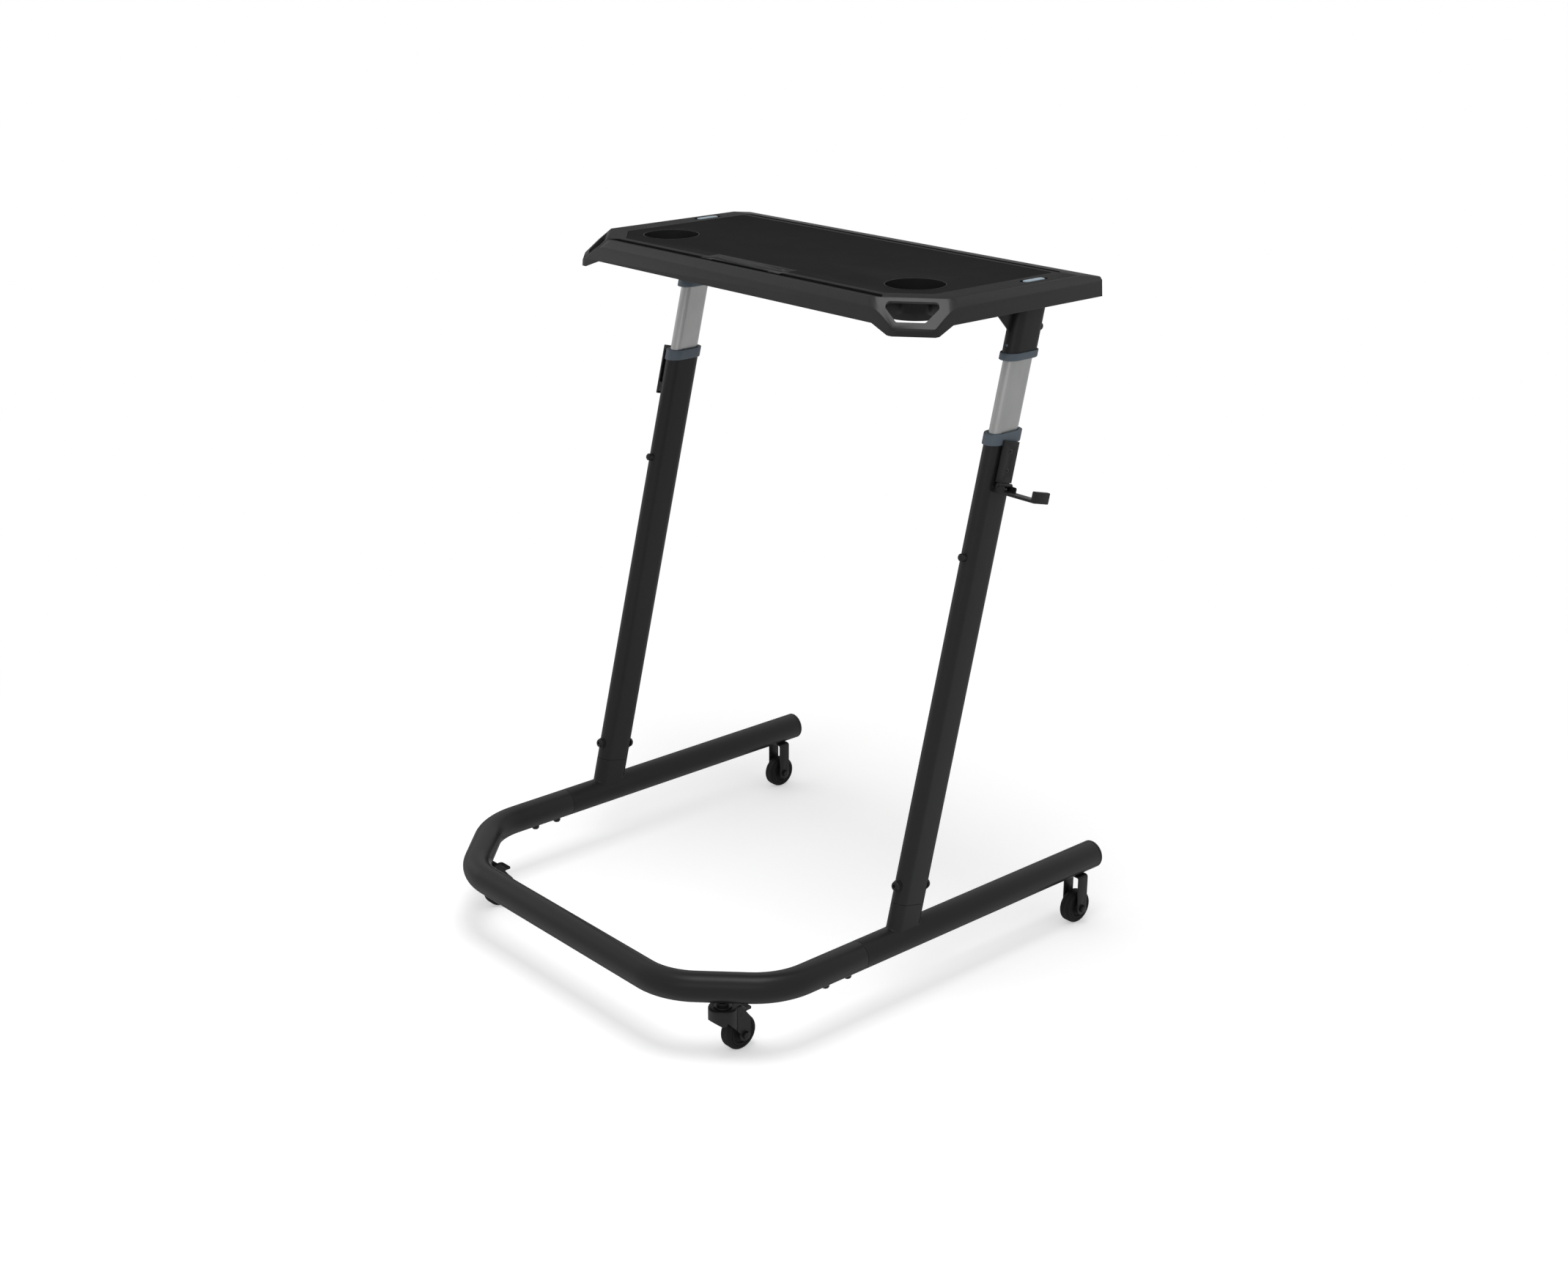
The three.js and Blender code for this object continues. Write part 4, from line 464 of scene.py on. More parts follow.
# Rounds the edges sharper than an angle.
def softened(mesh, width, segments=2, degrees=32):
    return shaped(
        mesh, "BEVEL", width=width, segments=segments, limit_method="ANGLE",
        angle_limit=math.radians(degrees), miter_outer="MITER_ARC", use_clamp_overlap=True,
    )


def finished(name, mesh, body, slot, nodes=(), degrees=34):
    mesh.transform(toRow)
    mesh.name = name
    mesh.materials.clear()
    mesh.materials.append(paints[slot])
    mesh.shade_smooth()
    mesh.set_sharp_from_angle(angle=math.radians(degrees))
    piece = standing(name, mesh)
    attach(piece, body)
    if nodes:
        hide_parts(*nodes)
    return piece


# One of a left and right pair; a body's name that ends in _ takes the side too.
def paired(name, side, mesh, body, slot, node):
    owner = body + side if body.endswith("_") else body
    return finished(f"{name}.{side}", mesh, owner, slot, [f"{node}_{side}"])


# Geometry node trees

def closeTree(tree, given, result, geometry):
    real = nodeOf(tree, "GeometryNodeRealizeInstances", {0: geometry})
    paint = nodeOf(tree, "GeometryNodeSetMaterial", {
        "Geometry": real.outputs[0], "Material": given["Material"],
    })
    feed(tree, result, {0: paint.outputs[0]})
    return tree


def newGeometry(name, inputs):
    outer = ("Geometry", "Geometry")
    return newTree("GeometryNodeTree", name, [outer] + inputs + [("Material", "Material")], [outer])


def ran(tree, mesh, values):
    piece = standing("work", mesh)
    step = piece.modifiers.new("build", "NODES")
    step.node_group = tree
    for item in tree.interface.items_tree:
        if item.in_out == "INPUT" and item.name in values:
            step[item.identifier] = values[item.name]
    piece.update_tag()
    return taken(piece)


def namedVector(tree, name):
    node = nodeOf(tree, "GeometryNodeInputNamedAttribute", data_type="FLOAT_VECTOR")
    node.inputs["Name"].default_value = name
    return node.outputs["Attribute"]


# A tube swept along a path of straight runs, its corners bent to one radius.
def bentTubeTree():
    tree, given, result = newGeometry("bentTube", [
        ("Tube Radius", "Float"), ("Bend Radius", "Float"), ("Bend Steps", "Int"), ("Sides", "Int"),
    ])
    path = nodeOf(tree, "GeometryNodeMeshToCurve", {"Mesh": given["Geometry"]})
    fillet = nodeOf(tree, "GeometryNodeFilletCurve", mode="POLY")
    feed(tree, fillet, {
        "Curve": path.outputs[0], "Radius": given["Bend Radius"], "Count": given["Bend Steps"],
        "Limit Radius": True,
    })
    size = {"Resolution": given["Sides"], "Radius": given["Tube Radius"]}
    circle = nodeOf(tree, "GeometryNodeCurvePrimitiveCircle", size)
    curves = {"Curve": fillet.outputs[0], "Profile Curve": circle.outputs[0]}
    sweep = nodeOf(tree, "GeometryNodeCurveToMesh", curves)
    return closeTree(tree, given, result, sweep.outputs[0])


# The same fastener stood at each point of a mesh, turned to that point's direction.
def fastenerTree():
    tree, given, result = newGeometry("fasteners", [("Fastener", "Object")])
    shape = nodeOf(tree, "GeometryNodeObjectInfo", {"Object": given["Fastener"]})
    facing = namedVector(tree, "facing")
    turn = nodeOf(tree, "FunctionNodeAlignRotationToVector", {"Vector": facing}, axis="Z")
    stand = nodeOf(tree, "GeometryNodeInstanceOnPoints", {
        "Points": given["Geometry"], "Instance": shape.outputs["Geometry"], "Rotation": turn.outputs[0],
    })
    return closeTree(tree, given, result, stand.outputs[0])


# A bar of its own length, width and height stood at each point of a mesh.
def barTree():
    tree, given, result = newGeometry("bars", [])
    cube = tree.nodes.new("GeometryNodeMeshCube")
    stand = nodeOf(tree, "GeometryNodeInstanceOnPoints", {
        "Points": given["Geometry"], "Instance": cube.outputs["Mesh"], "Scale": namedVector(tree, "size"),
    })
    return closeTree(tree, given, result, stand.outputs[0])


bentTube = bentTubeTree()
fasteners = fastenerTree()
bars = barTree()


# A cloud of points, each with one vector of its own.
def pointCloud(spots, label):
    points = bpy.data.meshes.new("spots")
    points.from_pydata([tuple(at) for at, value in spots], [], [])
    layer = points.attributes.new(label, "FLOAT_VECTOR", "POINT")
    for number, (at, value) in enumerate(spots):
        layer.data[number].vector = Vector(value)
    return points


def repeated(mesh, spots, paint):
    tool = standing("repeated", mesh)
    result = ran(fasteners, pointCloud(spots, "facing"), {"Fastener": tool, "Material": paints[paint]})
    bpy.data.objects.remove(tool)
    return result


def fastenerRow(name, mesh, spots, body, nodes=()):
    return finished(name, repeated(mesh, spots, "bolt_steel"), body, "bolt_steel", nodes)


# The base

base = {
    "radius": 25.0, "wall": 2.0, "height": 120.0, "half": 403.2, "corner": 131.5, "bend": 121.0,
    "bendSteps": 24, "sides": 72, "seam": 300.0, "end": 872.0, "rim": 0.7,
}
underside = base["height"] - base["radius"]


def tubeMesh(points):
    path = bpy.data.meshes.new("path")
    steps = [(step, step + 1) for step in range(len(points) - 1)]
    path.from_pydata([(x, y, base["height"]) for x, y in points], steps, [])
    swept = ran(bentTube, path, {
        "Tube Radius": base["radius"], "Bend Radius": base["bend"], "Bend Steps": base["bendSteps"],
        "Sides": base["sides"], "Material": paints["black_steel"],
    })
    shell = shaped(swept, "SOLIDIFY", thickness=base["wall"], offset=-1)
    return softened(reworked(shell, facedOut), base["rim"], 3, 60)


def buildBase():
    half, corner = base["half"], base["corner"]
    along = half - corner
    near, far = base["seam"] - gap / 2, base["seam"] + gap / 2
    front = tubeMesh([
        (-half, near), (-half, corner), (-along, 0), (along, 0), (half, corner), (half, near),
    ])
    finished("frontTube", front, "base_frame", "black_steel", ["front_tube"])
    for side, sign in sides:
        tube = tubeMesh([(0, far), (0, base["end"])])
        whole = shifted(gathered([tube, legFoot()]), sign * half)
        paired("sideTube", side, whole, "base_frame", "black_steel", "side_tube")
        paired("tubeEnd", side, endCapMesh(sign), "base_frame", "black_plastic", "end_cap")


endCap = {"flange": 5.5, "edge": 2.2, "plug": 20.0, "crown": 0.6, "inner": 0.6, "innerDrop": 0.35}


def endCapMesh(sign):
    radius, edge, crown = base["radius"], endCap["edge"], endCap["crown"]
    plug, face = radius - base["wall"] - gap, gap + endCap["flange"]
    profile = [(0, -endCap["plug"]), (plug, -endCap["plug"]), (plug, gap), (radius, gap)]
    profile += [
        (radius - edge * (1 - cosine), face - crown - edge * (1 - sine)) for sine, cosine in quarter(8)
    ]
    profile += [(radius * endCap["inner"], face - crown * endCap["innerDrop"]), (0, face)]
    at = Matrix.Translation((sign * base["half"], base["end"], base["height"]))
    return moved(turned(profile, base["sides"]), at @ Matrix.Rotation(-math.pi / 2, 4, "X"))


# The legs

sinLean, cosLean = math.sin(leg["lean"]), math.cos(leg["lean"])
legNose = leg["halfFlat"] + leg["nose"]
flangeHeight = leg["top"] + leg["silverShown"] + leg["upperHeight"]
upperLip = leg["top"] + leg["silverShown"]
legTopY = leg["footY"] + (flangeHeight - base["height"]) * math.tan(leg["lean"])


def legMatrix(sign):
    at = Matrix.Translation((sign * leg["x"], leg["footY"], base["height"]))
    return at @ Matrix.Rotation(-leg["lean"], 4, "X")


def alongAt(height):
    return (height - base["height"]) / cosLean


# Each cut says how far along the leg a ring lies at a point of its outline.
def squareCut(along):
    return lambda across, out: along


def levelCut(height):
    return lambda across, out: (height - base["height"] + across * sinLean) / cosLean


def tubeCope(radius):
    return lambda across, out: (math.sqrt(radius ** 2 - out ** 2) + across * sinLean) / cosLean


def legRing(nose, end, halfFlat=leg["halfFlat"]):
    ring = []
    for way in (1, -1):
        for step in range(leg["steps"] + 1):
            angle = math.pi * step / leg["steps"]
            out = way * nose * math.cos(angle)
            across = way * (halfFlat + nose * math.sin(angle))
            ring.append((out, across, end(across, out)))
    return ring


def legShell(sizes, bottom, top):
    outer, bore, flat = sizes["nose"], sizes["nose"] - sizes["wall"], sizes["halfFlat"]
    walls = ((outer, bottom), (outer, top), (bore, top), (bore, bottom))
    return loft([legRing(nose, end, flat) for nose, end in walls], closed=True)


# The foot is coped and welded to the side tube; a small fillet runs round it.
foot = {"fillet": 1.6, "filletSteps": 4, "reach": 24.5}


def legFoot():
    nose, seam, edge = leg["nose"], squareCut(leg["seam"]), leg["edge"]
    spigot, spigotTop = nose - leg["wall"] - gap, squareCut(leg["spigotTop"])
    bore = spigot - leg["spigotWall"]
    cope = tubeCope(base["radius"] - base["wall"] / 2)
    rings = [legRing(nose, cope)]
    for sine, cosine in quarter(foot["filletSteps"]):
        def level(across, out, lift=foot["fillet"] * (1 - cosine)):
            return tubeCope(base["radius"])(across, max(-foot["reach"], min(foot["reach"], out))) + lift
        rings.append(legRing(nose + foot["fillet"] * (1 - sine), level))
    rings += [
        legRing(nose, squareCut(leg["seam"] - edge)), legRing(nose - edge, seam), legRing(spigot, seam),
        legRing(spigot, spigotTop), legRing(bore, spigotTop), legRing(bore, cope),
    ]
    return moved(loft(rings, closed=True), legMatrix(0))


lock = {
    "belowTop": 209.44, "radius": 6.5, "ferrule": 3.8, "knob": 5.5, "dome": 3.2, "bulge": 0.7,
    "stem": 3.0, "room": 0.4, "edge": 0.5, "rim": 0.3, "pitch": 50.0, "below": 3, "above": 2,
}
inner = {"halfFlat": 15.0, "nose": 12.5, "wall": 1.5, "inserted": 526.44, "topGap": 7.4}
collar = {
    "grow": 3.0, "edge": 1.2, "lip": 2.0, "mouthGap": 1.0, "mouthDepth": 3.0, "mouthEdge": 0.6,
    "slide": 0.4, "lowerBand": 18.0, "lowerLiner": 60.0, "upperBand": 11.5, "upperLiner": 32.0,
    "nubRise": 16.1, "nub": 2.5, "nubProud": 0.4, "nubStart": 0.8,
}
lockAlong = alongAt(leg["top"]) - lock["belowTop"]
innerNose = inner["halfFlat"] + inner["nose"]
nubAlong = alongAt(upperLip) + collar["nubRise"]


def lowerTube(side, sign):
    nose, wall, edge = leg["nose"], leg["wall"], leg["edge"]
    seam, top = leg["seam"] + gap, levelCut(leg["top"] - collar["lip"] - gap)
    mesh = loft([
        legRing(nose - edge, squareCut(seam)), legRing(nose, squareCut(seam + edge)),
        legRing(nose, top), legRing(nose - wall, top), legRing(nose - wall, squareCut(seam)),
    ], closed=True)
    hole, radius, height = lock["stem"] + lock["room"], lock["radius"], lock["ferrule"]
    ferrule = turned([
        (hole, -wall / 2), (radius, -wall / 2), (radius, height - lock["edge"]),
        (radius - lock["edge"], height), (hole, height),
    ], 40)
    moved(ferrule, Matrix.Translation((0, -legNose, lockAlong)) @ towardsFront)
    whole = moved(gathered([mesh, ferrule]), legMatrix(sign))
    paired("lowerLeg", side, whole, "base_frame", "black_steel", "lower_leg_tube")


# The collar's band stands over the leg tube's end, its liner inside; away is the way from its lip.
def collarMesh(lip, band, liner, away):
    edge, outer, steps = collar["edge"], leg["nose"] + collar["grow"], quarter(4)
    tubeEnd = lip + away * (collar["lip"] + gap)
    bandEnd, linerEnd = lip + away * band, lip + away * liner
    rings = [
        legRing(outer - edge * (1 - sine), levelCut(bandEnd - away * edge * (1 - cosine)))
        for sine, cosine in steps
    ] + [
        legRing(outer - edge * (1 - cosine), levelCut(lip + away * edge * (1 - sine)))
        for sine, cosine in steps
    ]
    mouth, sliding = inner["nose"] + collar["mouthGap"], inner["nose"] + collar["slide"]
    linerNose, bandNose = leg["nose"] - leg["wall"] - gap, leg["nose"] + gap
    bore = (
        (mouth + collar["mouthEdge"], lip), (mouth, lip + away * collar["mouthEdge"]),
        (sliding, lip + away * collar["mouthDepth"]), (sliding, linerEnd),
    )
    seat = ((linerNose, linerEnd), (linerNose, tubeEnd), (bandNose, tubeEnd), (bandNose, bandEnd))
    rings += [legRing(nose, levelCut(height), inner["halfFlat"]) for nose, height in bore]
    rings += [legRing(nose, levelCut(height)) for nose, height in seat]
    return loft(rings, closed=True)


def buildCollars(side, sign):
    lower = collarMesh(leg["top"], collar["lowerBand"], collar["lowerLiner"], -1)
    paired("lowerCollar", side, moved(lower, legMatrix(sign)), "base_frame", "blue_plastic", "lower_collar")
    upper = collarMesh(upperLip, collar["upperBand"], collar["upperLiner"], 1)
    start, radius = innerNose + collar["nubStart"], collar["nub"]
    length = legNose + collar["nubProud"] - start
    nub = turned([
        (0, 0), (radius, 0), (radius, length - 0.6), (radius - 0.5, length - 0.1), (0, length),
    ], 32)
    moved(nub, Matrix.Translation((0, -start, nubAlong)) @ towardsFront)
    whole = moved(gathered([upper, nub]), legMatrix(sign))
    paired("upperCollar", side, whole, "desk_lift", "blue_plastic", "upper_collar")


def buildSilver(side, sign):
    bottom = squareCut(alongAt(leg["top"]) - inner["inserted"])
    top = squareCut(alongAt(flangeHeight) - inner["topGap"])
    heights = [lockAlong + step * lock["pitch"] for step in range(-lock["below"], lock["above"] + 1)]
    radius = lock["stem"] + lock["room"]
    holes = [rodMesh((0, -legNose, height), (0, 0, height), radius, 28) for height in heights]
    whole = moved(cut(legShell(inner, bottom, top), holes), legMatrix(sign))
    paired("silverTube", side, whole, "desk_lift", "silver_metal", "silver_tube")


flange = {
    "thickness": 3.0, "half": 33.0, "near": 83.2, "far": 48.8, "corner": 8.0, "inset": 12.0,
    "gusset": 3.0, "gussetHeight": 39.0, "gussetReach": 78.2, "edge": 0.5, "gussetEdge": 0.4,
}


def flangeSpots(height, facing):
    x = flange["half"] - flange["inset"]
    ys = (legTopY - flange["near"] + flange["inset"], legTopY + flange["far"] - flange["inset"])
    return [
        ((sign * leg["x"] + way * x, y, height), facing)
        for side, sign in sides for y in ys for way in (-1, 1)
    ]


def upperTube(side, sign):
    half, top = flange["half"], flangeHeight + flange["thickness"]
    middle = flangeHeight + flange["thickness"] / 2
    tube = legShell(leg, levelCut(upperLip + collar["lip"] + gap), levelCut(middle))
    nubHole = rodMesh((0, 0, nubAlong), (0, -legNose - 3, nubAlong), collar["nub"] + gap)
    tube = cut(moved(tube, legMatrix(0)), [moved(nubHole, legMatrix(0))])
    outline = rectangle(-half, legTopY - flange["near"], half, legTopY + flange["far"])
    plate = softened(prism(rounded(outline, flange["corner"]), flangeHeight, top), flange["edge"])

    def noseY(height):
        across = -legNose + leg["wall"] / 2
        return (legMatrix(0) @ Vector((0, across, levelCut(height)(across, 0)))).y

    low, tip = flangeHeight - flange["gussetHeight"], legTopY - flange["gussetReach"]
    rib = prism(
        [(noseY(low), low), (noseY(middle), middle), (tip, middle), (tip, flangeHeight)],
        -flange["gusset"] / 2, flange["gusset"] / 2,
    )
    rib = softened(moved(rib, acrossX), flange["gussetEdge"])
    whole = shifted(gathered([tube, plate, rib]), sign * leg["x"])
    paired("upperLeg", side, whole, "desk_lift", "black_steel", "upper_leg_tube")


# Bolts

footBolt = {
    "along": 92.0, "shank": 4.0, "length": 12.0, "washer": 10.0, "washerHeight": 1.6, "head": 8.5,
    "socket": 3.0, "depth": 3.0,
}
sleeveBolt = {
    "ys": (226.8, 275.6), "shank": 4.0, "length": 11.0, "washer": 7.5, "washerHeight": 1.2, "head": 7.0,
    "socket": 2.9, "depth": 3.0,
}
upperBolt = {
    "rise": 53.6, "shank": 3.0, "length": 12.0, "washer": 7.2, "washerHeight": 0.8, "head": 7.0,
    "socket": 2.3, "depth": 2.5,
}
button = {"height": 6.0, "edge": 0.35, "crown": 0.72, "flat": 0.56, "round": 0.44, "fine": 0.18}


def buttonBolt(sizes):
    shank, washer, head, edge = sizes["shank"], sizes["washer"], sizes["head"], button["edge"]
    washerTop = gap + sizes["washerHeight"]
    top, crown = washerTop + button["height"], button["height"] * button["crown"]
    profile = [
        (0, -sizes["length"]), (shank, -sizes["length"]), (shank, gap), (washer - edge, gap),
        (washer, gap + edge), (washer, washerTop - edge), (washer - edge, washerTop),
        (head - edge / 2, washerTop), (head, washerTop + edge),
    ]
    profile += [
        (head * button["flat"] + head * button["round"] * cosine, top - crown + crown * sine)
        for sine, cosine in quarter(9)
    ]
    profile.append((0, top))
    socket = rodMesh((0, 0, top - sizes["depth"]), (0, 0, top + 3), sizes["socket"], 6)
    return softened(cleaned(cut(turned(profile), [socket])), button["fine"], 2, 40)


panHead = {
    "shank": 1.9, "length": 14.0, "head": 4.4, "height": 2.8, "seat": 0.1, "rim": 0.9,
    "flat": 0.45, "round": 0.55, "fine": 0.12, "cross": (4.4, 1.0, 1.5),
}


# A domed screw with a driver's cross, standing below the flange plate.
def panScrew():
    head, height, shank, seat = panHead["head"], panHead["height"], panHead["shank"], panHead["seat"]
    profile = [
        (0, -panHead["length"]), (shank, 1 - panHead["length"]), (shank, seat), (head - 0.2, seat),
        (head, 0.4),
    ]
    profile += [
        (
            head * (panHead["flat"] + panHead["round"] * cosine),
            panHead["rim"] + (height - panHead["rim"]) * sine,
        )
        for sine, cosine in quarter(7)[1:]
    ]
    profile.append((0, height))
    cutters = [shifted(cutter, z=height) for cutter in crossCutter(panHead["cross"])]
    return softened(cleaned(cut(turned(profile, 40), cutters)), panHead["fine"], 2, 40)


# The driver's cross in a head tapers towards its floor.
def crossCutter(sizes):
    length, width, depth = sizes
    bars = []
    for long, wide in ((length, width), (width, length)):
        low = [(x, y, -depth) for x, y in rectangle(-long / 3, -wide / 3, long / 3, wide / 3)]
        high = [(x, y, 1) for x, y in rectangle(-long / 2, -wide / 2, long / 2, wide / 2)]
        bars.append(loft([low, high]))
    return bars


def numbered(node):
    return [f"{node}_{side}_{number}" for side, sign in sides for number in (1, 2)]


def legSpot(sign, end, along):
    matrix = legMatrix(sign)
    return matrix @ Vector((0, end * legNose, along)), matrix.to_3x3() @ Vector((0, end, 0))


def buildBolts():
    spots = [((sign * base["half"], y, underside), -zAxis) for side, sign in sides for y in sleeveBolt["ys"]]
    fastenerRow("sleeveBolts", buttonBolt(sleeveBolt), spots, "base_frame", numbered("sleeve_bolt"))
    spots = [legSpot(sign, end, footBolt["along"]) for side, sign in sides for end in (-1, 1)]
    fastenerRow("footBolts", buttonBolt(footBolt), spots, "base_frame", numbered("foot_bolt"))
    spots = [legSpot(sign, 1, alongAt(upperLip) + upperBolt["rise"]) for side, sign in sides]
    names = [f"upper_bolt_{side}" for side, sign in sides]
    fastenerRow("upperBolts", buttonBolt(upperBolt), spots, "desk_lift", names)
    fastenerRow("flangeScrews", panScrew(), flangeSpots(flangeHeight, -zAxis), "desk_lift")


def buildLockPin(side, sign):
    radius, stem, dome, rim = lock["radius"], lock["stem"], lock["dome"], lock["rim"]
    depth = lock["ferrule"] + legNose - innerNose - lock["edge"]
    top = gap + lock["knob"]
    profile = [(0, -depth), (stem, -depth), (stem, gap), (radius - rim, gap), (radius, gap + rim)]
    profile += [
        (radius * cosine ** lock["bulge"], top - dome + dome * sine) for sine, cosine in quarter(9)
    ]
    at = legMatrix(sign) @ Matrix.Translation((0, -legNose - lock["ferrule"], lockAlong)) @ towardsFront
    paired("lockKnob", side, moved(turned(profile, 40), at), "lock_", "bolt_steel", "lock_pin")


buildBase()
for side, sign in sides:
    lowerTube(side, sign)
    buildCollars(side, sign)
    buildSilver(side, sign)
    upperTube(side, sign)
    buildLockPin(side, sign)
buildBolts()
print("base, legs and bolts built")


# Hooks. Their own axes: X out from the leg, Y across its noses and Z along it, from the pin.

hook = {
    "out": 25.5, "belowTop": 84.94, "plate": (4.0, 4.5, 17.0), "plateRises": (1.5, 71.5),
    "screwRises": (55.0, 24.0), "screw": 2.5, "screwHead": 4.6, "screwDepth": 2.6,
    "cross": (4.6, 1.1, 1.2), "boss": 6.0, "pin": 2.0, "pinHead": 3.2, "pinHeight": 1.4,
    "barrel": 4.0, "drop": 12.3, "web": 4.2, "rear": 8.5, "earReach": 13.5, "ear": 3.0,
    "half": 16.0, "reach": 82.5, "tab": 9.0, "tabRise": 6.2, "tabEdge": 1.8, "edge": 0.7,
}
plateInner = leg["nose"] + hook["plate"][0] - hook["out"]
plateOuter = plateInner + hook["plate"][1]
pivotAlong = alongAt(leg["top"]) - hook["belowTop"]
outX = basis(-zAxis, yAxis, xAxis)


def hookMatrix(sign):
    turn = Matrix.Rotation(0 if sign > 0 else math.pi, 4, "Z")
    return legMatrix(sign) @ Matrix.Translation((sign * hook["out"], 0, pivotAlong)) @ turn


def hingeRod(half, radius):
    return rodMesh((0, -half, 0), (0, half, 0), radius)


def hookBracket():
    half, (bottom, top) = hook["plate"][2], hook["plateRises"]
    room = hook["half"] - hook["ear"] - gap
    start, notchTop = leg["nose"] + gap - hook["out"], hook["barrel"] + 0.8
    solids = [
        block((plateInner, -half, bottom), (plateOuter, half, top)), hingeRod(room, hook["barrel"]),
        block((plateInner, -room, 0), (0, room, hook["barrel"])),
    ]
    solids += [
        rodMesh((start, 0, rise), (plateInner + 1, 0, rise), hook["boss"]) for rise in hook["screwRises"]
    ]
    holes = [
        block((plateInner - 2, low, bottom - 2), (plateOuter + 2, high, notchTop))
        for low, high in ((room, half + 2), (-half - 2, -room))
    ] + [hingeRod(half, hook["pin"] + gap)]
    holes += [shifted(screwShape(gap, 2), z=rise) for rise in hook["screwRises"]]
    return softened(cleaned(cut(joined(solids), holes)), hook["edge"], 3)


# A countersunk screw along X, its flat head level with the plate's face.
def screwShape(grow, above):
    shank, head = hook["screw"] + grow, hook["screwHead"] + grow
    low = leg["nose"] - leg["wall"] - hook["out"] + 0.4 - grow
    return moved(turned([
        (0, low), (shank, low), (shank, plateOuter - hook["screwDepth"]),
        (head, plateOuter - gap + grow), (head, plateOuter + above), (0, plateOuter + above),
    ]), outX)


def bracketScrew():
    screw = shifted(moved(screwShape(0, 0), outX.inverted()), z=-plateOuter)
    return softened(cleaned(cut(screw, crossCutter(hook["cross"]))), 0.2, 2, 40)


def hookArm():
    drop, web, rear, reach = hook["drop"], hook["web"], hook["rear"], hook["reach"]
    half, edge, rise, barrel = hook["half"], hook["tabEdge"], hook["tabRise"], hook["barrel"]
    tab, foot = reach - hook["tab"], web / 2 - drop
    bar = rounded([
        (-rear, -drop), (reach, -drop), (reach, rise), (tab, rise), (tab, web - drop), (-rear, web - drop),
    ], [web / 2 - 0.01, edge, edge, edge, 1.2, web / 2 - 0.01])
    ear = rounded([
        (-rear + web, foot), (hook["earReach"], foot), (hook["earReach"], 0), (barrel, 0),
    ], [0, 0, 3, 0])
    for step in range(1, 17):
        ear.append((barrel * math.cos(math.pi * step / 16), barrel * math.sin(math.pi * step / 16)))
    pieces = [moved(prism(bar, -half, half), alongY)]
    for low in (-half, half - hook["ear"]):
        pieces.append(moved(prism(ear, -low - hook["ear"], -low), alongY))
    whole = cut(joined(pieces), [hingeRod(half + 2, hook["pin"] + 0.4)])
    return softened(cleaned(whole), hook["edge"], 3)


def hookPin():
    seat, head, height = hook["half"] + gap, hook["pinHead"], hook["pinHeight"]
    half = [(hook["pin"], seat), (head, seat), (head, seat + 0.4)]
    half += [
        (head - 1.2 * (1 - cosine), seat + 0.4 + (height - 0.4) * sine) for sine, cosine in quarter(6)[1:]
    ]
    half.append((0, seat + height))
    profile = [(radius, -along) for radius, along in reversed(half)] + half
    return moved(turned(profile, 40), basis(xAxis, -zAxis, yAxis))


def buildHooks():
    spots = []
    for side, sign in sides:
        at = hookMatrix(sign)
        paired("hookBracket", side, moved(hookBracket(), at), "base_frame", "black_steel", "hook_bracket")
        paired("hookPin", side, moved(hookPin(), at), "base_frame", "bolt_steel", "hook_pin")
        folded = Matrix.Rotation(0 if sign > 0 else -math.pi / 2, 4, "Y")
        paired("hookArm", side, moved(hookArm(), at @ folded), "hook_", "black_steel", "hook_arm")
        for rise in hook["screwRises"]:
            spots.append((at @ Vector((plateOuter, 0, rise)), at.to_3x3() @ xAxis))
    fastenerRow("bracketScrews", bracketScrew(), spots, "base_frame", numbered("bracket_screw"))


# Casters. Their own axes: X along the axle, Z up from the floor.

wheel = {
    "radius": 30.0, "half": 10.75, "rounding": 5.2, "recess": 17.0, "depth": 2.2, "hub": 10.0,
    "groove": (22.6, 21.4, 0.7), "step": (13.2, 0.8), "sides": 96, "seam": (0.45, 0.15), "bore": 4.4,
}
alongAxle = basis(yAxis, zAxis, xAxis)


# The wheel's own step rings: a groove in the sidewall, a stepped recess and a proud hub.
def wheelMesh(hubReach):
    half, recess, hub, arc = wheel["half"], wheel["recess"], wheel["hub"], wheel["rounding"]
    (outer, within, depth), (ledge, lift) = wheel["groove"], wheel["step"]
    floor = half - wheel["depth"]
    side = [
        (wheel["bore"], hubReach - 0.6), (wheel["bore"] + 0.6, hubReach), (hub - 1.6, hubReach),
        (hub - 0.9, hubReach - 0.7), (hub, floor + lift), (ledge, floor + lift), (ledge + 0.5, floor),
        (recess, floor), (recess + 0.9, half - 0.3), (recess + 1.3, half), (within, half),
        (within + 0.15, half - depth), (outer - 0.15, half - depth), (outer, half),
    ]
    side += [
        (wheel["radius"] - arc * (1 - sine), half - arc * (1 - cosine)) for sine, cosine in quarter(10)
    ]
    seam, dip = wheel["seam"]
    side.append((wheel["radius"], seam))
    profile = side + [(wheel["radius"] - dip, 0)] + [(radius, -x) for radius, x in reversed(side)]
    return moved(turned(profile, wheel["sides"]), alongAxle)


axle = {"radius": 4.0, "head": 6.6, "height": 5.0, "nut": 4.4, "thread": 1.3, "chamfer": 0.8}


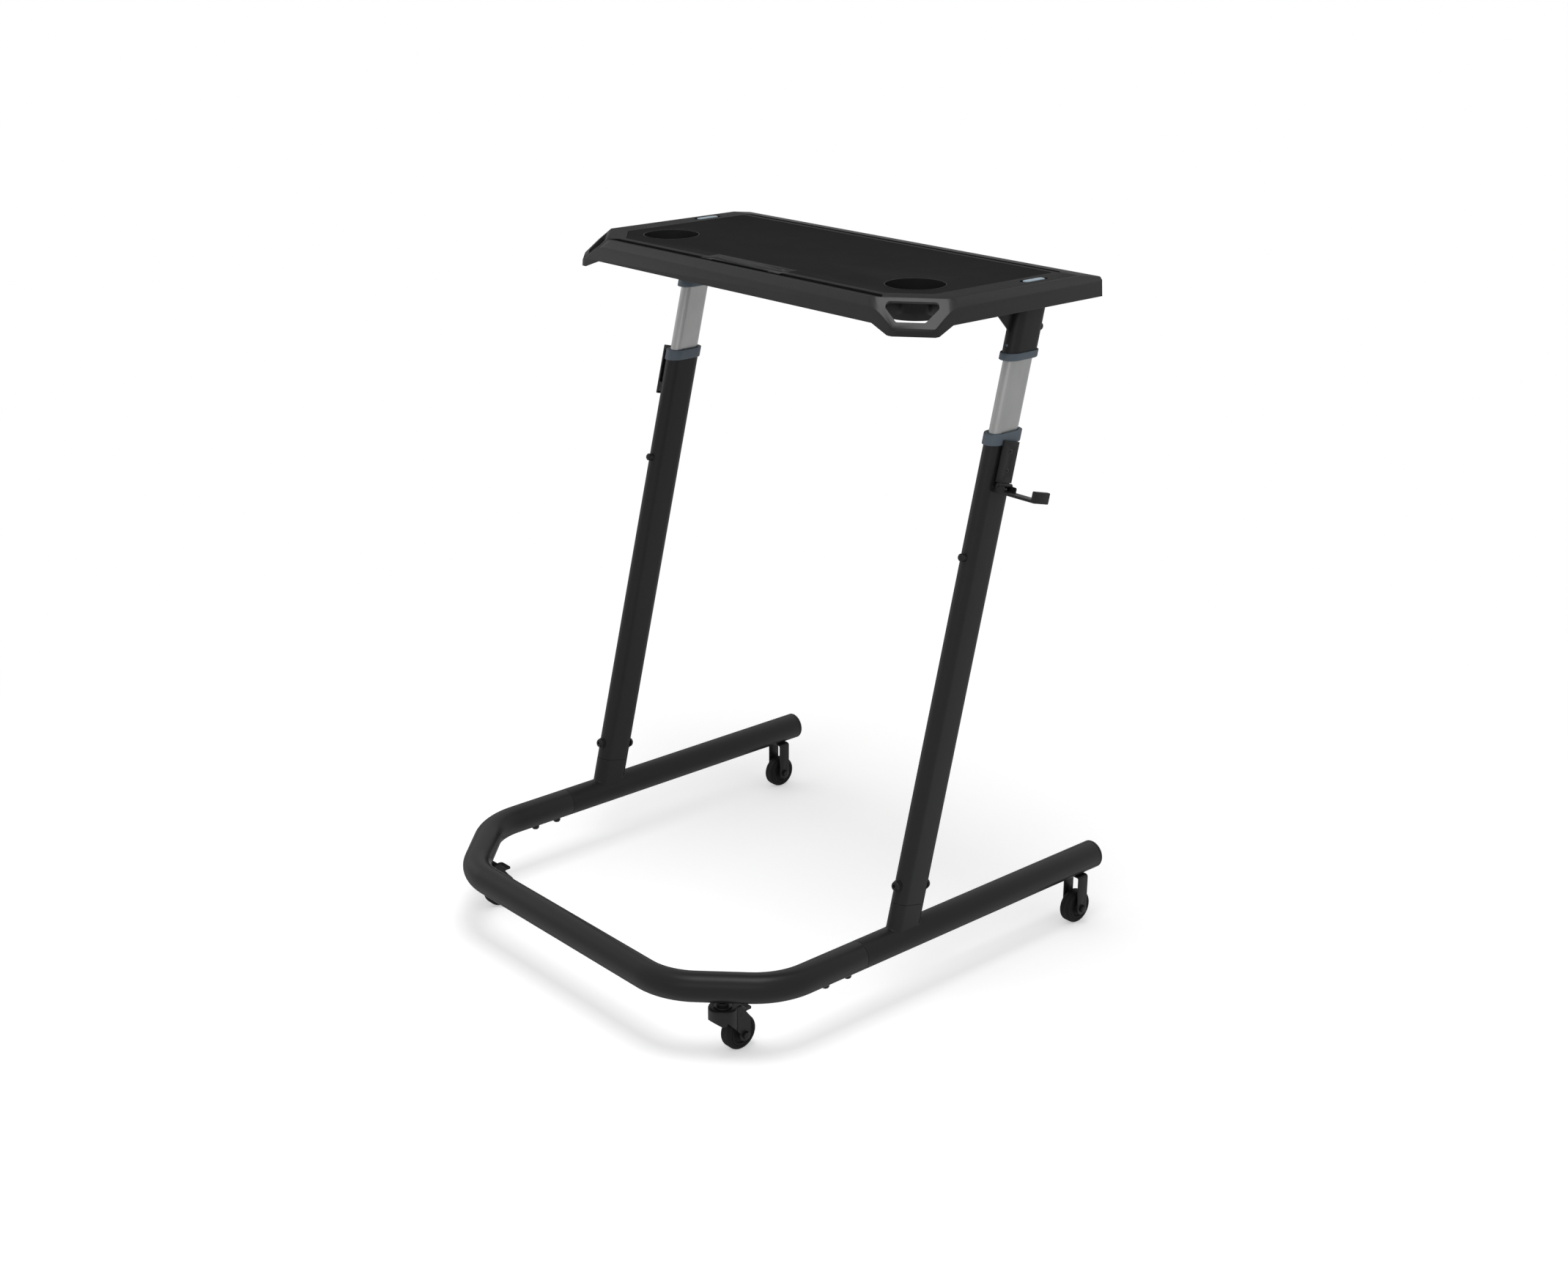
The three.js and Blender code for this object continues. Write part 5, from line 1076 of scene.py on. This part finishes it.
def hexPrism(low, high, chamferLow, chamferHigh):
    radius, flat = axle["head"], axle["head"] * math.cos(math.pi / 6)
    drop = (radius - flat) * math.tan(math.radians(30)) + 0.25
    turns = [math.pi / 3 * step for step in range(6)]
    corners = [(radius * math.cos(turn), radius * math.sin(turn)) for turn in turns]
    chamfered = [flat - 0.3, radius + 0.2]
    rim = [(0, low)]
    rim += list(zip(chamfered, (low, low + drop))) if chamferLow else [(radius + 1, low)]
    rim += list(zip(chamfered[::-1], (high - drop, high))) if chamferHigh else [(radius + 1, high)]
    rim.append((0, high))
    return crossed(prism(corners, low, high), turned(rim, 60))


def axleMesh(forkHalf):
    seat, radius, chamfer = forkHalf + gap, axle["radius"], axle["chamfer"]
    end = -seat - axle["nut"] - axle["thread"]
    shank = turned([
        (0, end), (radius - chamfer, end), (radius, end + chamfer), (radius, seat + 1), (0, seat + 1),
    ], 40)
    head = hexPrism(seat, seat + axle["height"], False, True)
    nut = hexPrism(-seat - axle["nut"], -seat, True, False)
    return moved(softened(cleaned(joined([shank, head, nut])), 0.2, 2, 40), alongAxle)


def axleHole(half, y):
    return rodMesh((-half, y, wheel["radius"]), (half, y, wheel["radius"]), axle["radius"] + gap)


rear = {
    "y": 835.8, "half": 18.0, "metal": 3.0, "depth": 23.7, "bend": 5.0, "stud": 5.0,
    "studRise": 16.0, "head": 7.0, "headHeight": 4.5, "headFlat": 3.2, "headRim": 0.8, "edge": 0.6,
}


def rearFork():
    half, metal, bend, reach = rear["half"], rear["metal"], rear["bend"], rear["depth"] / 2
    top, bore = underside - gap, half - metal
    web = top - metal
    outline = rounded([
        (-half, 0), (-half, top), (half, top), (half, 0), (bore, 0), (bore, web), (-bore, web), (-bore, 0),
    ], [0, bend, bend, 0, 0, bend - metal, bend - metal, 0])
    side = [(reach, top + 2), (-reach, top + 2)]
    for step in range(25):
        angle = math.pi * (1 + step / 24)
        side.append((reach * math.cos(angle), wheel["radius"] + reach * math.sin(angle)))
    strap = moved(prism(outline, -reach, reach), alongY)
    strap = crossed(strap, moved(prism(side, -half - 2, half + 2), acrossX))
    strap = softened(cleaned(cut(strap, [axleHole(half + 2, 0)])), rear["edge"], 3)
    low, head, flat, stud = web - rear["headHeight"], rear["head"], rear["headFlat"], rear["stud"]
    profile = [(0, low)] + [
        (flat + (head - flat) * sine, low + (rear["headHeight"] - rear["headRim"]) * (1 - cosine))
        for sine, cosine in quarter(8)
    ]
    profile += [
        (head, web + 0.5), (stud, web + 0.5), (stud, top + rear["studRise"]), (0, top + rear["studRise"]),
    ]
    return gathered([strap, turned(profile)])


front = {
    "trail": 31.25, "crown": 24.0, "top": 86.5, "half": 18.5, "metal": 2.5, "rim": 3.0, "boss": 11.0,
    "race": 17.0, "raceDepth": 1.0, "rivetHole": 5.9, "edge": 0.6, "hoodFoot": 69.0,
    "cheek": (16.0, 36.0), "bossTurn": (153.0, 207.0), "cheekBack": 60.0,
}
frontX, frontY = base["half"] - base["corner"] / 2, base["corner"] / 2


def hoodRing(shrink, back, height):
    radius, half = front["crown"] - shrink, front["half"] - shrink
    blend = math.acos(half / radius)
    ring = [(half, back, height), (-half, back, height)]
    sweep = math.pi + 2 * blend
    for step in range(49):
        angle = math.pi - blend + sweep * step / 48
        ring.append((radius * math.cos(angle), radius * math.sin(angle), height))
    return ring


# The hood's crown turns down over a rounded rim.
def hoodForm(shrink, back, bottom, top, rim):
    rings = [hoodRing(shrink, back, bottom)]
    for sine, cosine in quarter(6):
        rings.append(hoodRing(shrink + rim * (1 - cosine), back, top - rim + rim * sine))
    return loft(rings)


def frontFork():
    metal, trail, crown, boss = front["metal"], front["trail"], front["crown"], front["boss"]
    top, reach, (start, sweep) = front["top"], front["half"] + 3, front["bossTurn"]
    back, high = trail + boss + 3, top + 3
    outside = hoodForm(0, back, 0, top, front["rim"])
    side = rounded([(-crown - 3, high), (-crown - 3, front["hoodFoot"]), front["cheek"]], [0, 0, 5])
    for step in range(25):
        angle = math.radians(start + sweep * step / 24)
        side.append((trail + boss * math.cos(angle), wheel["radius"] + boss * math.sin(angle)))
    side += [(trail + boss, front["cheekBack"]), (crown, top - metal), (crown, high)]
    cheeks = moved(prism(side, -crown - 3, crown + 3), acrossX)
    radius, y, z = pedal["pin"]
    holes = [
        hoodForm(metal, back + 3, -3, top - metal, 0.8),
        upright(0, 0, 0, high, front["rivetHole"]),
        upright(0, 0, top - front["raceDepth"], high, front["race"], 72),
        axleHole(reach, trail),
        rodMesh((-reach, y, z), (reach, y, z), radius + gap),
    ]
    return softened(cleaned(cut(crossed(outside, cheeks), holes)), front["edge"], 3, 40)


# Each profile as (radius, height), from the rivet's top, the race's foot and the tube's underside.
stem = {
    "rivet": ((0, -3), (5.5, -3), (7.6, -2.5), (9, -1.2), (9, -0.3), (8.7, 0), (5.5, 0)),
    "race": (
        (5.5, 0), (14.6, 0), (15, 0.4), (15, 1.9), (14.3, 2.6), (11.4, 2.6), (11.2, 2.1), (10.4, 2.1),
        (10.2, 2.6), (9.5, 2.9),
    ),
    "plug": ((9.5, 0), (5, 0), (5, 16.7), (4.4, 17.3), (0, 17.3)),
}


def stemMesh():
    heights = {
        "rivet": front["top"] - front["metal"] - gap,
        "race": front["top"] - front["raceDepth"] + gap,
        "plug": underside - gap,
    }
    profile = [(radius, heights[name] + rise) for name in heights for radius, rise in stem[name]]
    return turned(profile, 72)


pedal = {
    "pin": (2.0, 22.0, 70.0), "half": 15.5, "metal": 2.2, "top": 73.0, "ys": (17.0, 49.0),
    "corner": 5.0, "drop": 7.0, "footY": 26.4, "rearY": 40.0, "pad": (33.0, 3.0, 62.8),
    "ridges": (41.0, 43.5, 46.0), "ridge": (0.5, 0.6, 4.0), "edge": 0.5,
}


def pedalMesh():
    half, metal, top, (low, high) = pedal["half"], pedal["metal"], pedal["top"], pedal["ys"]
    middle, under, near = top - metal / 2, top - pedal["drop"], low + pedal["corner"]
    outline = [(near, middle), (near, under), (pedal["footY"], under), (pedal["rearY"], middle)]
    radius, pinY, pinZ = pedal["pin"]
    padY, padHalf, padBottom = pedal["pad"]
    depth, width, inset = pedal["ridge"]
    solids = [
        prism(rounded(rectangle(-half, low, half, high), pedal["corner"]), top - metal, top),
        rodMesh((-front["half"], pinY, pinZ), (front["half"], pinY, pinZ), radius),
        block((-half / 2, padY - padHalf, padBottom), (half / 2, padY + padHalf, middle)),
    ]
    solids += [moved(prism(outline, x, x + metal), acrossX) for x in (-half, half - metal)]
    treads = [
        block((-half + inset, y - width, top - depth), (half - inset, y + width, top + 1))
        for y in pedal["ridges"]
    ]
    return softened(cleaned(cut(joined(solids), treads)), pedal["edge"], 3)


def buildCasters():
    for side, sign in sides:
        at = Matrix.Translation((sign * base["half"], rear["y"], 0))
        hubAt = at @ Matrix.Translation((0, 0, wheel["radius"]))
        disc, bolt = wheelMesh(rear["half"] - rear["metal"] - 0.4), axleMesh(rear["half"])
        paired("rearFork", side, moved(rearFork(), at), "base_frame", "black_steel", "rear_fork")
        paired("rearWheel", side, moved(disc, hubAt), "rear_roller_", "wheel_rubber", "rear_wheel")
        paired("rearAxle", side, moved(bolt, hubAt), "base_frame", "bolt_steel", "rear_axle")
        at = Matrix.Translation((sign * frontX, frontY, 0))
        hubAt = at @ Matrix.Translation((0, front["trail"], wheel["radius"]))
        disc, bolt = wheelMesh(front["half"] - front["metal"] - 0.4), axleMesh(front["half"])
        paired("frontFork", side, moved(frontFork(), at), "front_swivel_", "black_steel", "front_fork")
        paired("casterStem", side, moved(stemMesh(), at), "base_frame", "bolt_steel", "caster_stem")
        paired("frontWheel", side, moved(disc, hubAt), "front_roller_", "wheel_rubber", "front_wheel")
        paired("frontAxle", side, moved(bolt, hubAt), "front_swivel_", "bolt_steel", "front_axle")
        paired("brakePedal", side, moved(pedalMesh(), at), "brake_", "black_steel", "brake_pedal")


buildHooks()
buildCasters()
print("hooks and casters built")


# The desk

desk = {
    "top": 1183.6, "bottom": 1146.4, "hanging": 1133.2, "farCorner": 4.0, "wall": 3.5, "deck": 4.0,
    "rib": 2.6, "grooveWall": 3.0, "edge": 1.8, "handEdge": 9.0, "handCorner": 8.0, "lip": 2.6,
    "below": 1.2, "bevelSteps": 6, "fine": 0.5, "spare": 30.0,
}
# Where each slope and wall starts and ends, as (distance out, height).
slopes = {
    "near": ((-378.4, 1183.6), (-370.0, 1171.0), (-366.8, 1146.4)),
    "side": ((424.5, 1183.6), (436.2, 1171.0), (438.3, 1146.4)),
    "far": ((743.0, 1183.6), (789.3, 1177.2), (789.0, 1146.4)),
    "hand": ((-77.0, 1183.6), (-31.0, 1144.3), (-30.2, 1133.1)),
}
hold = {
    "turn": math.radians(40), "middle": 560.0, "rampTop": -61.3, "rampFoot": -37.0, "plate": 5.0,
    "wallLift": 5.0, "grip": [(38.6, 7.3), (41.4, 19.6), (22.3, 47.0)], "corners": [6.0, 7.0, 4.5],
    "pocket": [(17.8, -115.0), (26.5, -103.5), (45.0, -85.0), (45.0, -36.0)],
    "pocketCorners": [14, 40, 20, 0],
}
cup = {
    "x": 303.5, "y": 498.5, "radius": 47.5, "rim": 2.5, "depth": 45.0, "wall": 3.0, "sides": 96,
    "floorFillet": 6.0,
}
mat = {
    "half": 380.0, "near": 414.5, "far": 730.0, "chamfer": (57.0, 48.0), "corner": 6.0,
    "thickness": 1.8, "sink": 0.2, "gap": 0.4,
}
groove = {
    "near": {"y": 386.6, "width": 15.4, "half": 331.0, "depth": 12.0},
    "far": {"y": 738.6, "width": 13.0, "half": 376.0, "depth": 9.0},
}
stop = {
    "half": 98.0, "near": 396.0, "far": 436.0, "notch": 71.0, "notchDepth": 4.0, "thickness": 3.0,
    "screwX": 80.0, "screwY": 422.5, "screw": 1.8, "head": 3.4, "cross": (3.2, 0.8, 1.2),
}
badge = {
    "x": 402.3, "y": 662.0, "length": 45.0, "width": 13.0, "recessLength": 57.0, "recessWidth": 18.0,
    "recess": 2.0, "proud": 0.6,
}
ribs = {
    "half": 446.0, "near": 355.5, "depth": 440.0, "xShares": (-0.5, -0.25, 0.0, 0.25, 0.5),
    "yShares": (0.36, 0.66), "thickness": 2.6, "lift": 6.0, "boss": 6.0, "bossHole": 2.2,
    "bossHeight": 33.0, "bossDepth": 12.0,
}


def handAxes(sign):
    turn = hold["turn"]
    outward = Vector((sign * math.sin(turn), -math.cos(turn), 0))
    return outward, Vector((sign * math.cos(turn), math.sin(turn), 0))


# Each of the desk's planes as a point on it and the way it faces.
def deskPlanes():
    ways = [("near", -yAxis), ("far", yAxis)]
    for side, sign in sides:
        ways += [("side", sign * xAxis), ("hand", handAxes(sign)[0])]
    planes = []
    for name, way in ways:
        spots = slopes[name]
        for (out, height), (lowerOut, lowerHeight) in zip(spots, spots[1:]):
            facing = way * (height - lowerHeight) + zAxis * (lowerOut - out)
            planes.append((name, way * out + zAxis * height, facing.normalized()))
    return planes


# What is left of a mesh inside the planes.
def shaved(mesh, planes):
    def work(form):
        for at, facing in planes:
            parts = form.verts[:] + form.edges[:] + form.faces[:]
            split = bmesh.ops.bisect_plane(
                form, geom=parts, plane_co=at, plane_no=facing, clear_outer=True, dist=0.0001,
            )
            rim = [part for part in split["geom_cut"] if isinstance(part, bmesh.types.BMEdge)]
            bmesh.ops.contextual_create(form, geom=rim)
        facedOut(form)

    return reworked(mesh, work)


# The desk's solid form; a hollow is the same form with its walls moved in by wall, deck and plate.
def deskForm(wall, deck, plate):
    top, bottom, hanging, spare = desk["top"], desk["bottom"], desk["hanging"], desk["spare"]
    below = place["overrun"] if wall > 0 else 0
    planes = [(zAxis * (top - deck), zAxis)]
    for name, at, facing in deskPlanes():
        inward = deck * facing.z if facing.z > 0.3 else wall
        if name == "hand" and facing.z > 0.3:
            inward = plate
        planes.append((at - facing * inward, facing))
    form = shaved(block((-500, 300, hanging - below), (500, 850, top + 1)), planes)
    under = block((-600, 200, hanging - spare), (600, 950, bottom - below))
    high, low = hold["rampTop"] + wall, hold["rampFoot"] + wall
    ramp = [
        (high, bottom + 1), (high, bottom - below), (low, hanging - below), (low, hanging - spare - 1),
        (100, hanging - spare - 1), (100, bottom + 1),
    ]
    keeps = [moved(prism(ramp, -200, 200), handMatrix(sign)) for side, sign in sides]
    return cut(form, [cut(under, keeps)])


# Drawn as distance out and height, thick along the hand hold.
def handMatrix(sign):
    outward, across = handAxes(sign)
    return basis(outward, zAxis, outward.cross(zAxis), across * hold["middle"])


# An outline drawn on its right side and mirrored to the left.
def mirrored(right, radii, steps):
    left = [(-x, y) for x, y in reversed(right)]
    return rounded(right + left, radii + radii[::-1], steps)


def gripHole(sign):
    outward, across = handAxes(sign)
    (topOut, topHeight), (lipOut, lipHeight) = slopes["hand"][:2]
    down = (outward * (lipOut - topOut) + zAxis * (lipHeight - topHeight)).normalized()
    facing = next(
        normal for name, at, normal in deskPlanes()
        if name == "hand" and normal.z > 0.3 and normal.x * sign > 0
    )
    at = outward * topOut + across * hold["middle"] + zAxis * topHeight
    hole = prism(mirrored(hold["grip"], hold["corners"], 6), -hold["plate"] * 2, 3)
    return moved(hole, basis(down.cross(facing), down, facing, at))


def pocketShape(grow, low, high, sign):
    outward, across = handAxes(sign)
    right = [
        (x + grow * 0.7, y - (grow if number < 3 else 0)) for number, (x, y) in enumerate(hold["pocket"])
    ]
    mesh = prism(mirrored(right, hold["pocketCorners"], 8), low, high)
    return moved(mesh, basis(across, outward, zAxis, across * hold["middle"]))


def grooveBlock(sizes, grow, top):
    low, high = sizes["y"] - grow, sizes["y"] + sizes["width"] + grow
    half, floor = sizes["half"] + grow, desk["top"] - sizes["depth"] - grow
    return block((-half, low, floor), (half, high, top))


# A groove's near edge is longer than its far one, so that its ends run out to a point.
def grooveCutter(sizes, top):
    low, high, half = sizes["y"], sizes["y"] + sizes["width"], sizes["half"]
    tip = half + min(sizes["width"], 12.0)
    outline = rounded([
        (-tip, low + 0.5), (tip, low + 0.5), (half, high), (-half, high),
    ], [1.5, 1.5, 8.0, 8.0], 5)
    return prism(outline, desk["top"] - sizes["depth"], top)


def matOutline(grow):
    side, near, far = mat["half"] + grow, mat["near"] - grow, mat["far"] + grow
    cutX, cutY = mat["chamfer"]
    return rounded([
        (-side + cutX, near), (side - cutX, near), (side, near + cutY),
        (side, far), (-side, far), (-side, near + cutY),
    ], mat["corner"])


def capsule(length, width):
    straight = (length - width) / 2
    outline = []
    for way in (1, -1):
        for step in range(17):
            angle = math.pi * step / 16 + (0 if way > 0 else math.pi)
            outline.append((width / 2 * math.cos(angle), way * straight + width / 2 * math.sin(angle)))
    return outline


def stopOutline(grow):
    half, far = stop["half"] + grow, stop["far"] + grow
    notch, near = stop["notch"], stop["near"]
    step = near + stop["notchDepth"]
    return [
        (-half, near), (-notch, near), (-notch, step), (notch, step),
        (notch, near), (half, near), (half, far), (-half, far),
    ]


# The outside edges are rounded by different amounts: widely where the hand hold's slope runs into
# the bevels, along its lip and round its wall, and a little along the rest.
def edgeWidth(edge):
    normals = [face.normal for face in edge.link_faces]
    if len(normals) != 2 or normals[0].angle(normals[1]) < math.radians(4):
        return 0
    turn = hold["turn"]
    hand = [
        n.y < -0.1 and abs(abs(n.x) * math.cos(turn) + n.y * math.sin(turn)) < 0.02 for n in normals
    ]
    steep = [abs(n.z) < 0.25 for n in normals]
    if min(n.z for n in normals) < -0.3:
        return desk["below"]
    if all(hand):
        return desk["lip"]
    if any(hand) and all(steep):
        return desk["handCorner"]
    if any(hand) and not any(steep) and max(n.z for n in normals) < 0.99:
        return desk["handEdge"]
    if all(steep) and abs(normals[0].z - normals[1].z) < 0.2 and normals[0].angle(normals[1]) > 1:
        return desk["farCorner"]
    return desk["edge"]


def roundedOutside(mesh):
    largest = desk["handEdge"]

    def work(form):
        form.normal_update()
        weight = form.edges.layers.float.new("bevel_weight_edge")
        for edge in form.edges:
            edge[weight] = edgeWidth(edge) / largest

    return shaped(
        reworked(cleaned(mesh), work), "BEVEL", limit_method="WEIGHT", width=largest,
        segments=desk["bevelSteps"], use_clamp_overlap=False, loop_slide=True,
    )


# The moulding's ribs, once along each way, and the bosses that take the flange screws.
def ribSets():
    near, depth, thickness = ribs["near"], ribs["depth"], ribs["thickness"]
    low = desk["bottom"] + ribs["lift"]
    height, level = desk["top"] - low, (desk["top"] + low) / 2
    lengthways = [
        ((share * ribs["half"], near + depth / 2, level), (thickness, depth, height))
        for share in ribs["xShares"]
    ]
    crossways = [
        ((0, near + share * depth, level), (2 * ribs["half"], thickness, height))
        for share in ribs["yShares"]
    ]
    paint = {"Material": paints["black_plastic"]}
    sets = [ran(bars, pointCloud(spots, "size"), paint) for spots in (lengthways, crossways)]
    hole, radius, top, floor = ribs["bossHole"], ribs["boss"], ribs["bossHeight"], ribs["bossDepth"]
    boss = turned([(hole, 0), (radius, 0), (radius, top), (0, top), (0, floor), (hole, floor)], 32)
    foot = flangeHeight + flange["thickness"] + gap
    return sets + [repeated(boss, flangeSpots(foot, zAxis), "black_plastic")]


def cupCylinder(sign, radius, low, high):
    return upright(sign * cup["x"], cup["y"], low, high, radius, cup["sides"])


def cupHollow(sign, above):
    radius, fillet, floor = cup["radius"], cup["floorFillet"], desk["top"] - cup["depth"]
    profile = [(0, floor)]
    profile += [
        (radius - fillet + fillet * sine, floor + fillet - fillet * cosine) for sine, cosine in quarter(8)
    ]
    profile += [(radius, above), (0, above)]
    return shifted(turned(profile, cup["sides"]), sign * cup["x"], cup["y"])


# What is left standing under the deck: groove floors, cup wells, ribs, bosses and pocket walls.
def deskHollow(above):
    top, hanging = desk["top"], desk["hanging"]
    hollow = deskForm(desk["wall"], desk["deck"] + mat["thickness"], hold["plate"])
    for mesh in ribSets():
        hollow = cut(hollow, [mesh])
    keepers = [grooveBlock(sizes, desk["grooveWall"], top) for sizes in groove.values()]
    radius = cup["radius"] + cup["wall"]
    keepers += [cupCylinder(sign, radius, hanging - 6, top) for side, sign in sides]
    hollow = cut(hollow, keepers)
    room = block((-600, 200, desk["bottom"] + hold["wallLift"]), (600, 950, top))
    for side, sign in sides:
        ring = pocketShape(desk["rib"], hanging - 3, top, sign)
        ring = cut(ring, [pocketShape(0, hanging - 6, above, sign)])
        hollow = cut(hollow, [crossed(ring, room)])
    return hollow


def deskCutters(above):
    matFloor = desk["top"] - mat["thickness"] - mat["sink"] - gap
    plateFloor = desk["top"] - stop["thickness"] - gap
    rimRadius = cup["radius"] + cup["rim"]
    rims = [cupCylinder(sign, rimRadius, matFloor - 3, above + 3) for side, sign in sides]
    cutters = [cut(prism(matOutline(mat["gap"]), matFloor, above), rims)]
    cutters += [grooveCutter(sizes, above) for sizes in groove.values()]
    cutters.append(prism(stopOutline(gap), plateFloor, above))
    recess = capsule(badge["recessLength"], badge["recessWidth"])
    for side, sign in sides:
        sink = prism(recess, desk["top"] - badge["recess"], above)
        cutters += [
            cupHollow(sign, above), gripHole(sign), shifted(sink, sign * badge["x"], badge["y"]),
            upright(sign * stop["screwX"], stop["screwY"], plateFloor - 3, above, stop["screw"], 24),
        ]
    return cutters


def buildDesktop():
    above = desk["top"] + 3
    outside = roundedOutside(deskForm(0, 0, 0))
    body = cut(outside, [deskHollow(above)])
    low, high = desk["top"] - cup["depth"] - cup["wall"], desk["top"] - mat["thickness"]
    wells = [cupCylinder(sign, cup["radius"] + cup["wall"], low, high) for side, sign in sides]
    body = cleaned(cut(joined([body] + wells), deskCutters(above)), 0.3)
    finished("deskShell", softened(body, desk["fine"], 2, 38), "desk_lift", "black_plastic", ["desktop"])


def buildMat():
    top = desk["top"] - mat["sink"]
    radius = cup["radius"] + cup["rim"] + mat["gap"]
    cutters = [cupCylinder(sign, radius, top - 6, top + 3) for side, sign in sides]
    cutters.append(prism(stopOutline(mat["gap"]), top - 6, top + 3))
    mesh = cut(prism(matOutline(0), top - mat["thickness"], top), cutters)
    finished("rubberMat", softened(cleaned(mesh), 0.4), "desk_lift", "mat_rubber", ["desk_mat"])


def buildStop():
    top, head, shank = desk["top"], stop["head"], stop["screw"]
    spots = [(sign * stop["screwX"], stop["screwY"], top) for side, sign in sides]
    sink = [(0, -9), (shank, -9), (shank, -head / 2), (head, 0.3), (0, 0.3)]
    sinks = [shifted(turned(sink, 32), *spot) for spot in spots]
    mesh = cut(prism(stopOutline(0), top - stop["thickness"], top), sinks)
    finished("tabletStop", softened(cleaned(mesh), 0.4), "desk_lift", "black_plastic", ["tablet_stop"])
    head, shank = head - 0.25, shank - 0.3
    screw = turned([
        (0, -8), (shank, -8), (shank, -head / 2 - 0.3), (head, -0.5), (head - 0.2, -0.3), (0, -0.2),
    ], 32)
    screw = cut(screw, crossCutter(stop["cross"]))
    fastenerRow("stopScrews", screw, [(spot, zAxis) for spot in spots], "desk_lift")


def buildBadges():
    low, high = desk["top"] - badge["recess"] + gap, desk["top"] + badge["proud"]
    for side, sign in sides:
        mesh = softened(prism(capsule(badge["length"], badge["width"]), low, high), 0.7, 4)
        shifted(mesh, sign * badge["x"], badge["y"])
        paired("plainBadge", side, mesh, "desk_lift", "badge_plastic", "badge")


buildDesktop()
buildMat()
buildStop()
buildBadges()
print("desk built")


# Camera, floor and light

view = {"at": (2694.1, -1884.9, 1830.5), "aim": (-3.2, 496.5, 516.9), "lens": 49.97, "sensor": 36.0}


def aimed(piece, at, aim):
    piece.location = at
    piece.rotation_euler = (Vector(aim) - Vector(at)).to_track_quat("-Z", "Y").to_euler()


def buildCamera():
    data = bpy.data.cameras.new("photoView")
    data.lens = view["lens"]
    data.sensor_width = view["sensor"]
    data.sensor_fit = "HORIZONTAL"
    data.clip_start = 0.05
    data.clip_end = 60
    camera = standing("photoView", data)
    aimed(camera, toRow @ Vector(view["at"]), toRow @ Vector(view["aim"]))
    bpy.context.scene.camera = camera


floor = {
    "half": 9.0, "colour": (0.86, 0.86, 0.86, 1), "roughness": 0.95, "lift": 0.39, "fadeFrom": 1.0,
    "fadeTo": 2.2,
}


# One for what the camera sees, straight, in gloss or through something clear.
def seenFactor(tree):
    path = tree.nodes.new("ShaderNodeLightPath").outputs
    direct = mathNode(tree, "ADD", path["Is Camera Ray"], path["Is Glossy Ray"], clamp=True)
    return mathNode(tree, "ADD", direct, path["Is Transmission Ray"], clamp=True)


# Seen by the camera, and in gloss, the floor is lifted to white and fades to plain white further
# out; the object's shadow still darkens it.
def floorMaterial():
    material, tree, shader, where = newMaterial("floorWhite")
    feed(tree, shader, {
        "Base Color": floor["colour"], "Roughness": floor["roughness"], "Specular IOR Level": 0.0,
    })
    away = nodeOf(tree, "ShaderNodeVectorMath", {0: where}, operation="LENGTH")
    fade = nodeOf(tree, "ShaderNodeMapRange", {
        "Value": away.outputs["Value"], "From Min": floor["fadeFrom"], "From Max": floor["fadeTo"],
    }, interpolation_type="SMOOTHSTEP")
    seen = seenFactor(tree)
    glow = nodeOf(tree, "ShaderNodeEmission", {"Strength": mathNode(tree, "MULTIPLY", seen, floor["lift"])})
    both = nodeOf(tree, "ShaderNodeAddShader", {0: shader.outputs[0], 1: glow.outputs[0]})
    plain = nodeOf(tree, "ShaderNodeEmission", {"Strength": 1.0})
    share = mathNode(tree, "MULTIPLY", seen, fade.outputs["Result"])
    mix = nodeOf(tree, "ShaderNodeMixShader", {0: share, 1: both.outputs[0], 2: plain.outputs[0]})
    feed(tree, tree.nodes["Material Output"], {"Surface": mix.outputs[0]})
    return material


def buildFloor():
    half = floor["half"]
    corners = [(x, y, 0) for x, y in rectangle(-half, -half, half, half)]
    mesh = meshOf("studioFloor", corners, [(0, 1, 2, 3)])
    mesh.materials.append(floorMaterial())
    standing("studioFloor", mesh)


lights = {
    "world": 0.55,
    "seen": 1.0,
    "lamps": {
        "top": {"at": (0.42, -0.43, 3.6), "aim": (0.42, -0.43, 0.0), "size": (1.5, 1.5), "power": 42.0},
        "key": {"at": (2.6, -3.4, 2.9), "aim": (0.0, 0.0, 0.6), "size": (2.6, 2.0), "power": 18.0},
        "fill": {"at": (-3.6, -1.2, 2.0), "aim": (0.0, 0.0, 0.5), "size": (2.4, 2.0), "power": 8.0},
    },
}


def buildLights():
    world = bpy.data.worlds.new("studio")
    bpy.context.scene.world = world
    world.use_nodes = True
    tree = world.node_tree
    rise = lights["seen"] - lights["world"]
    shown = mathNode(tree, "MULTIPLY_ADD", seenFactor(tree), rise, lights["world"])
    feed(tree, tree.nodes["Background"], {"Color": (1, 1, 1, 1), "Strength": shown})
    for name, sizes in lights["lamps"].items():
        data = bpy.data.lights.new(name, "AREA")
        data.shape = "RECTANGLE"
        data.size, data.size_y = sizes["size"]
        data.energy = sizes["power"]
        aimed(standing(name, data), sizes["at"], sizes["aim"])


buildCamera()
buildFloor()
buildLights()
bpy.context.scene.view_settings.view_transform = "Standard"
print("camera, floor and light made")

# The joining sleeves stay as the frame has them, hidden inside the tubes.
for side, sign in sides:
    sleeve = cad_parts[f"joining_sleeve_{side}"]
    sleeve.data.materials.clear()
    sleeve.data.materials.append(paints["black_steel"])
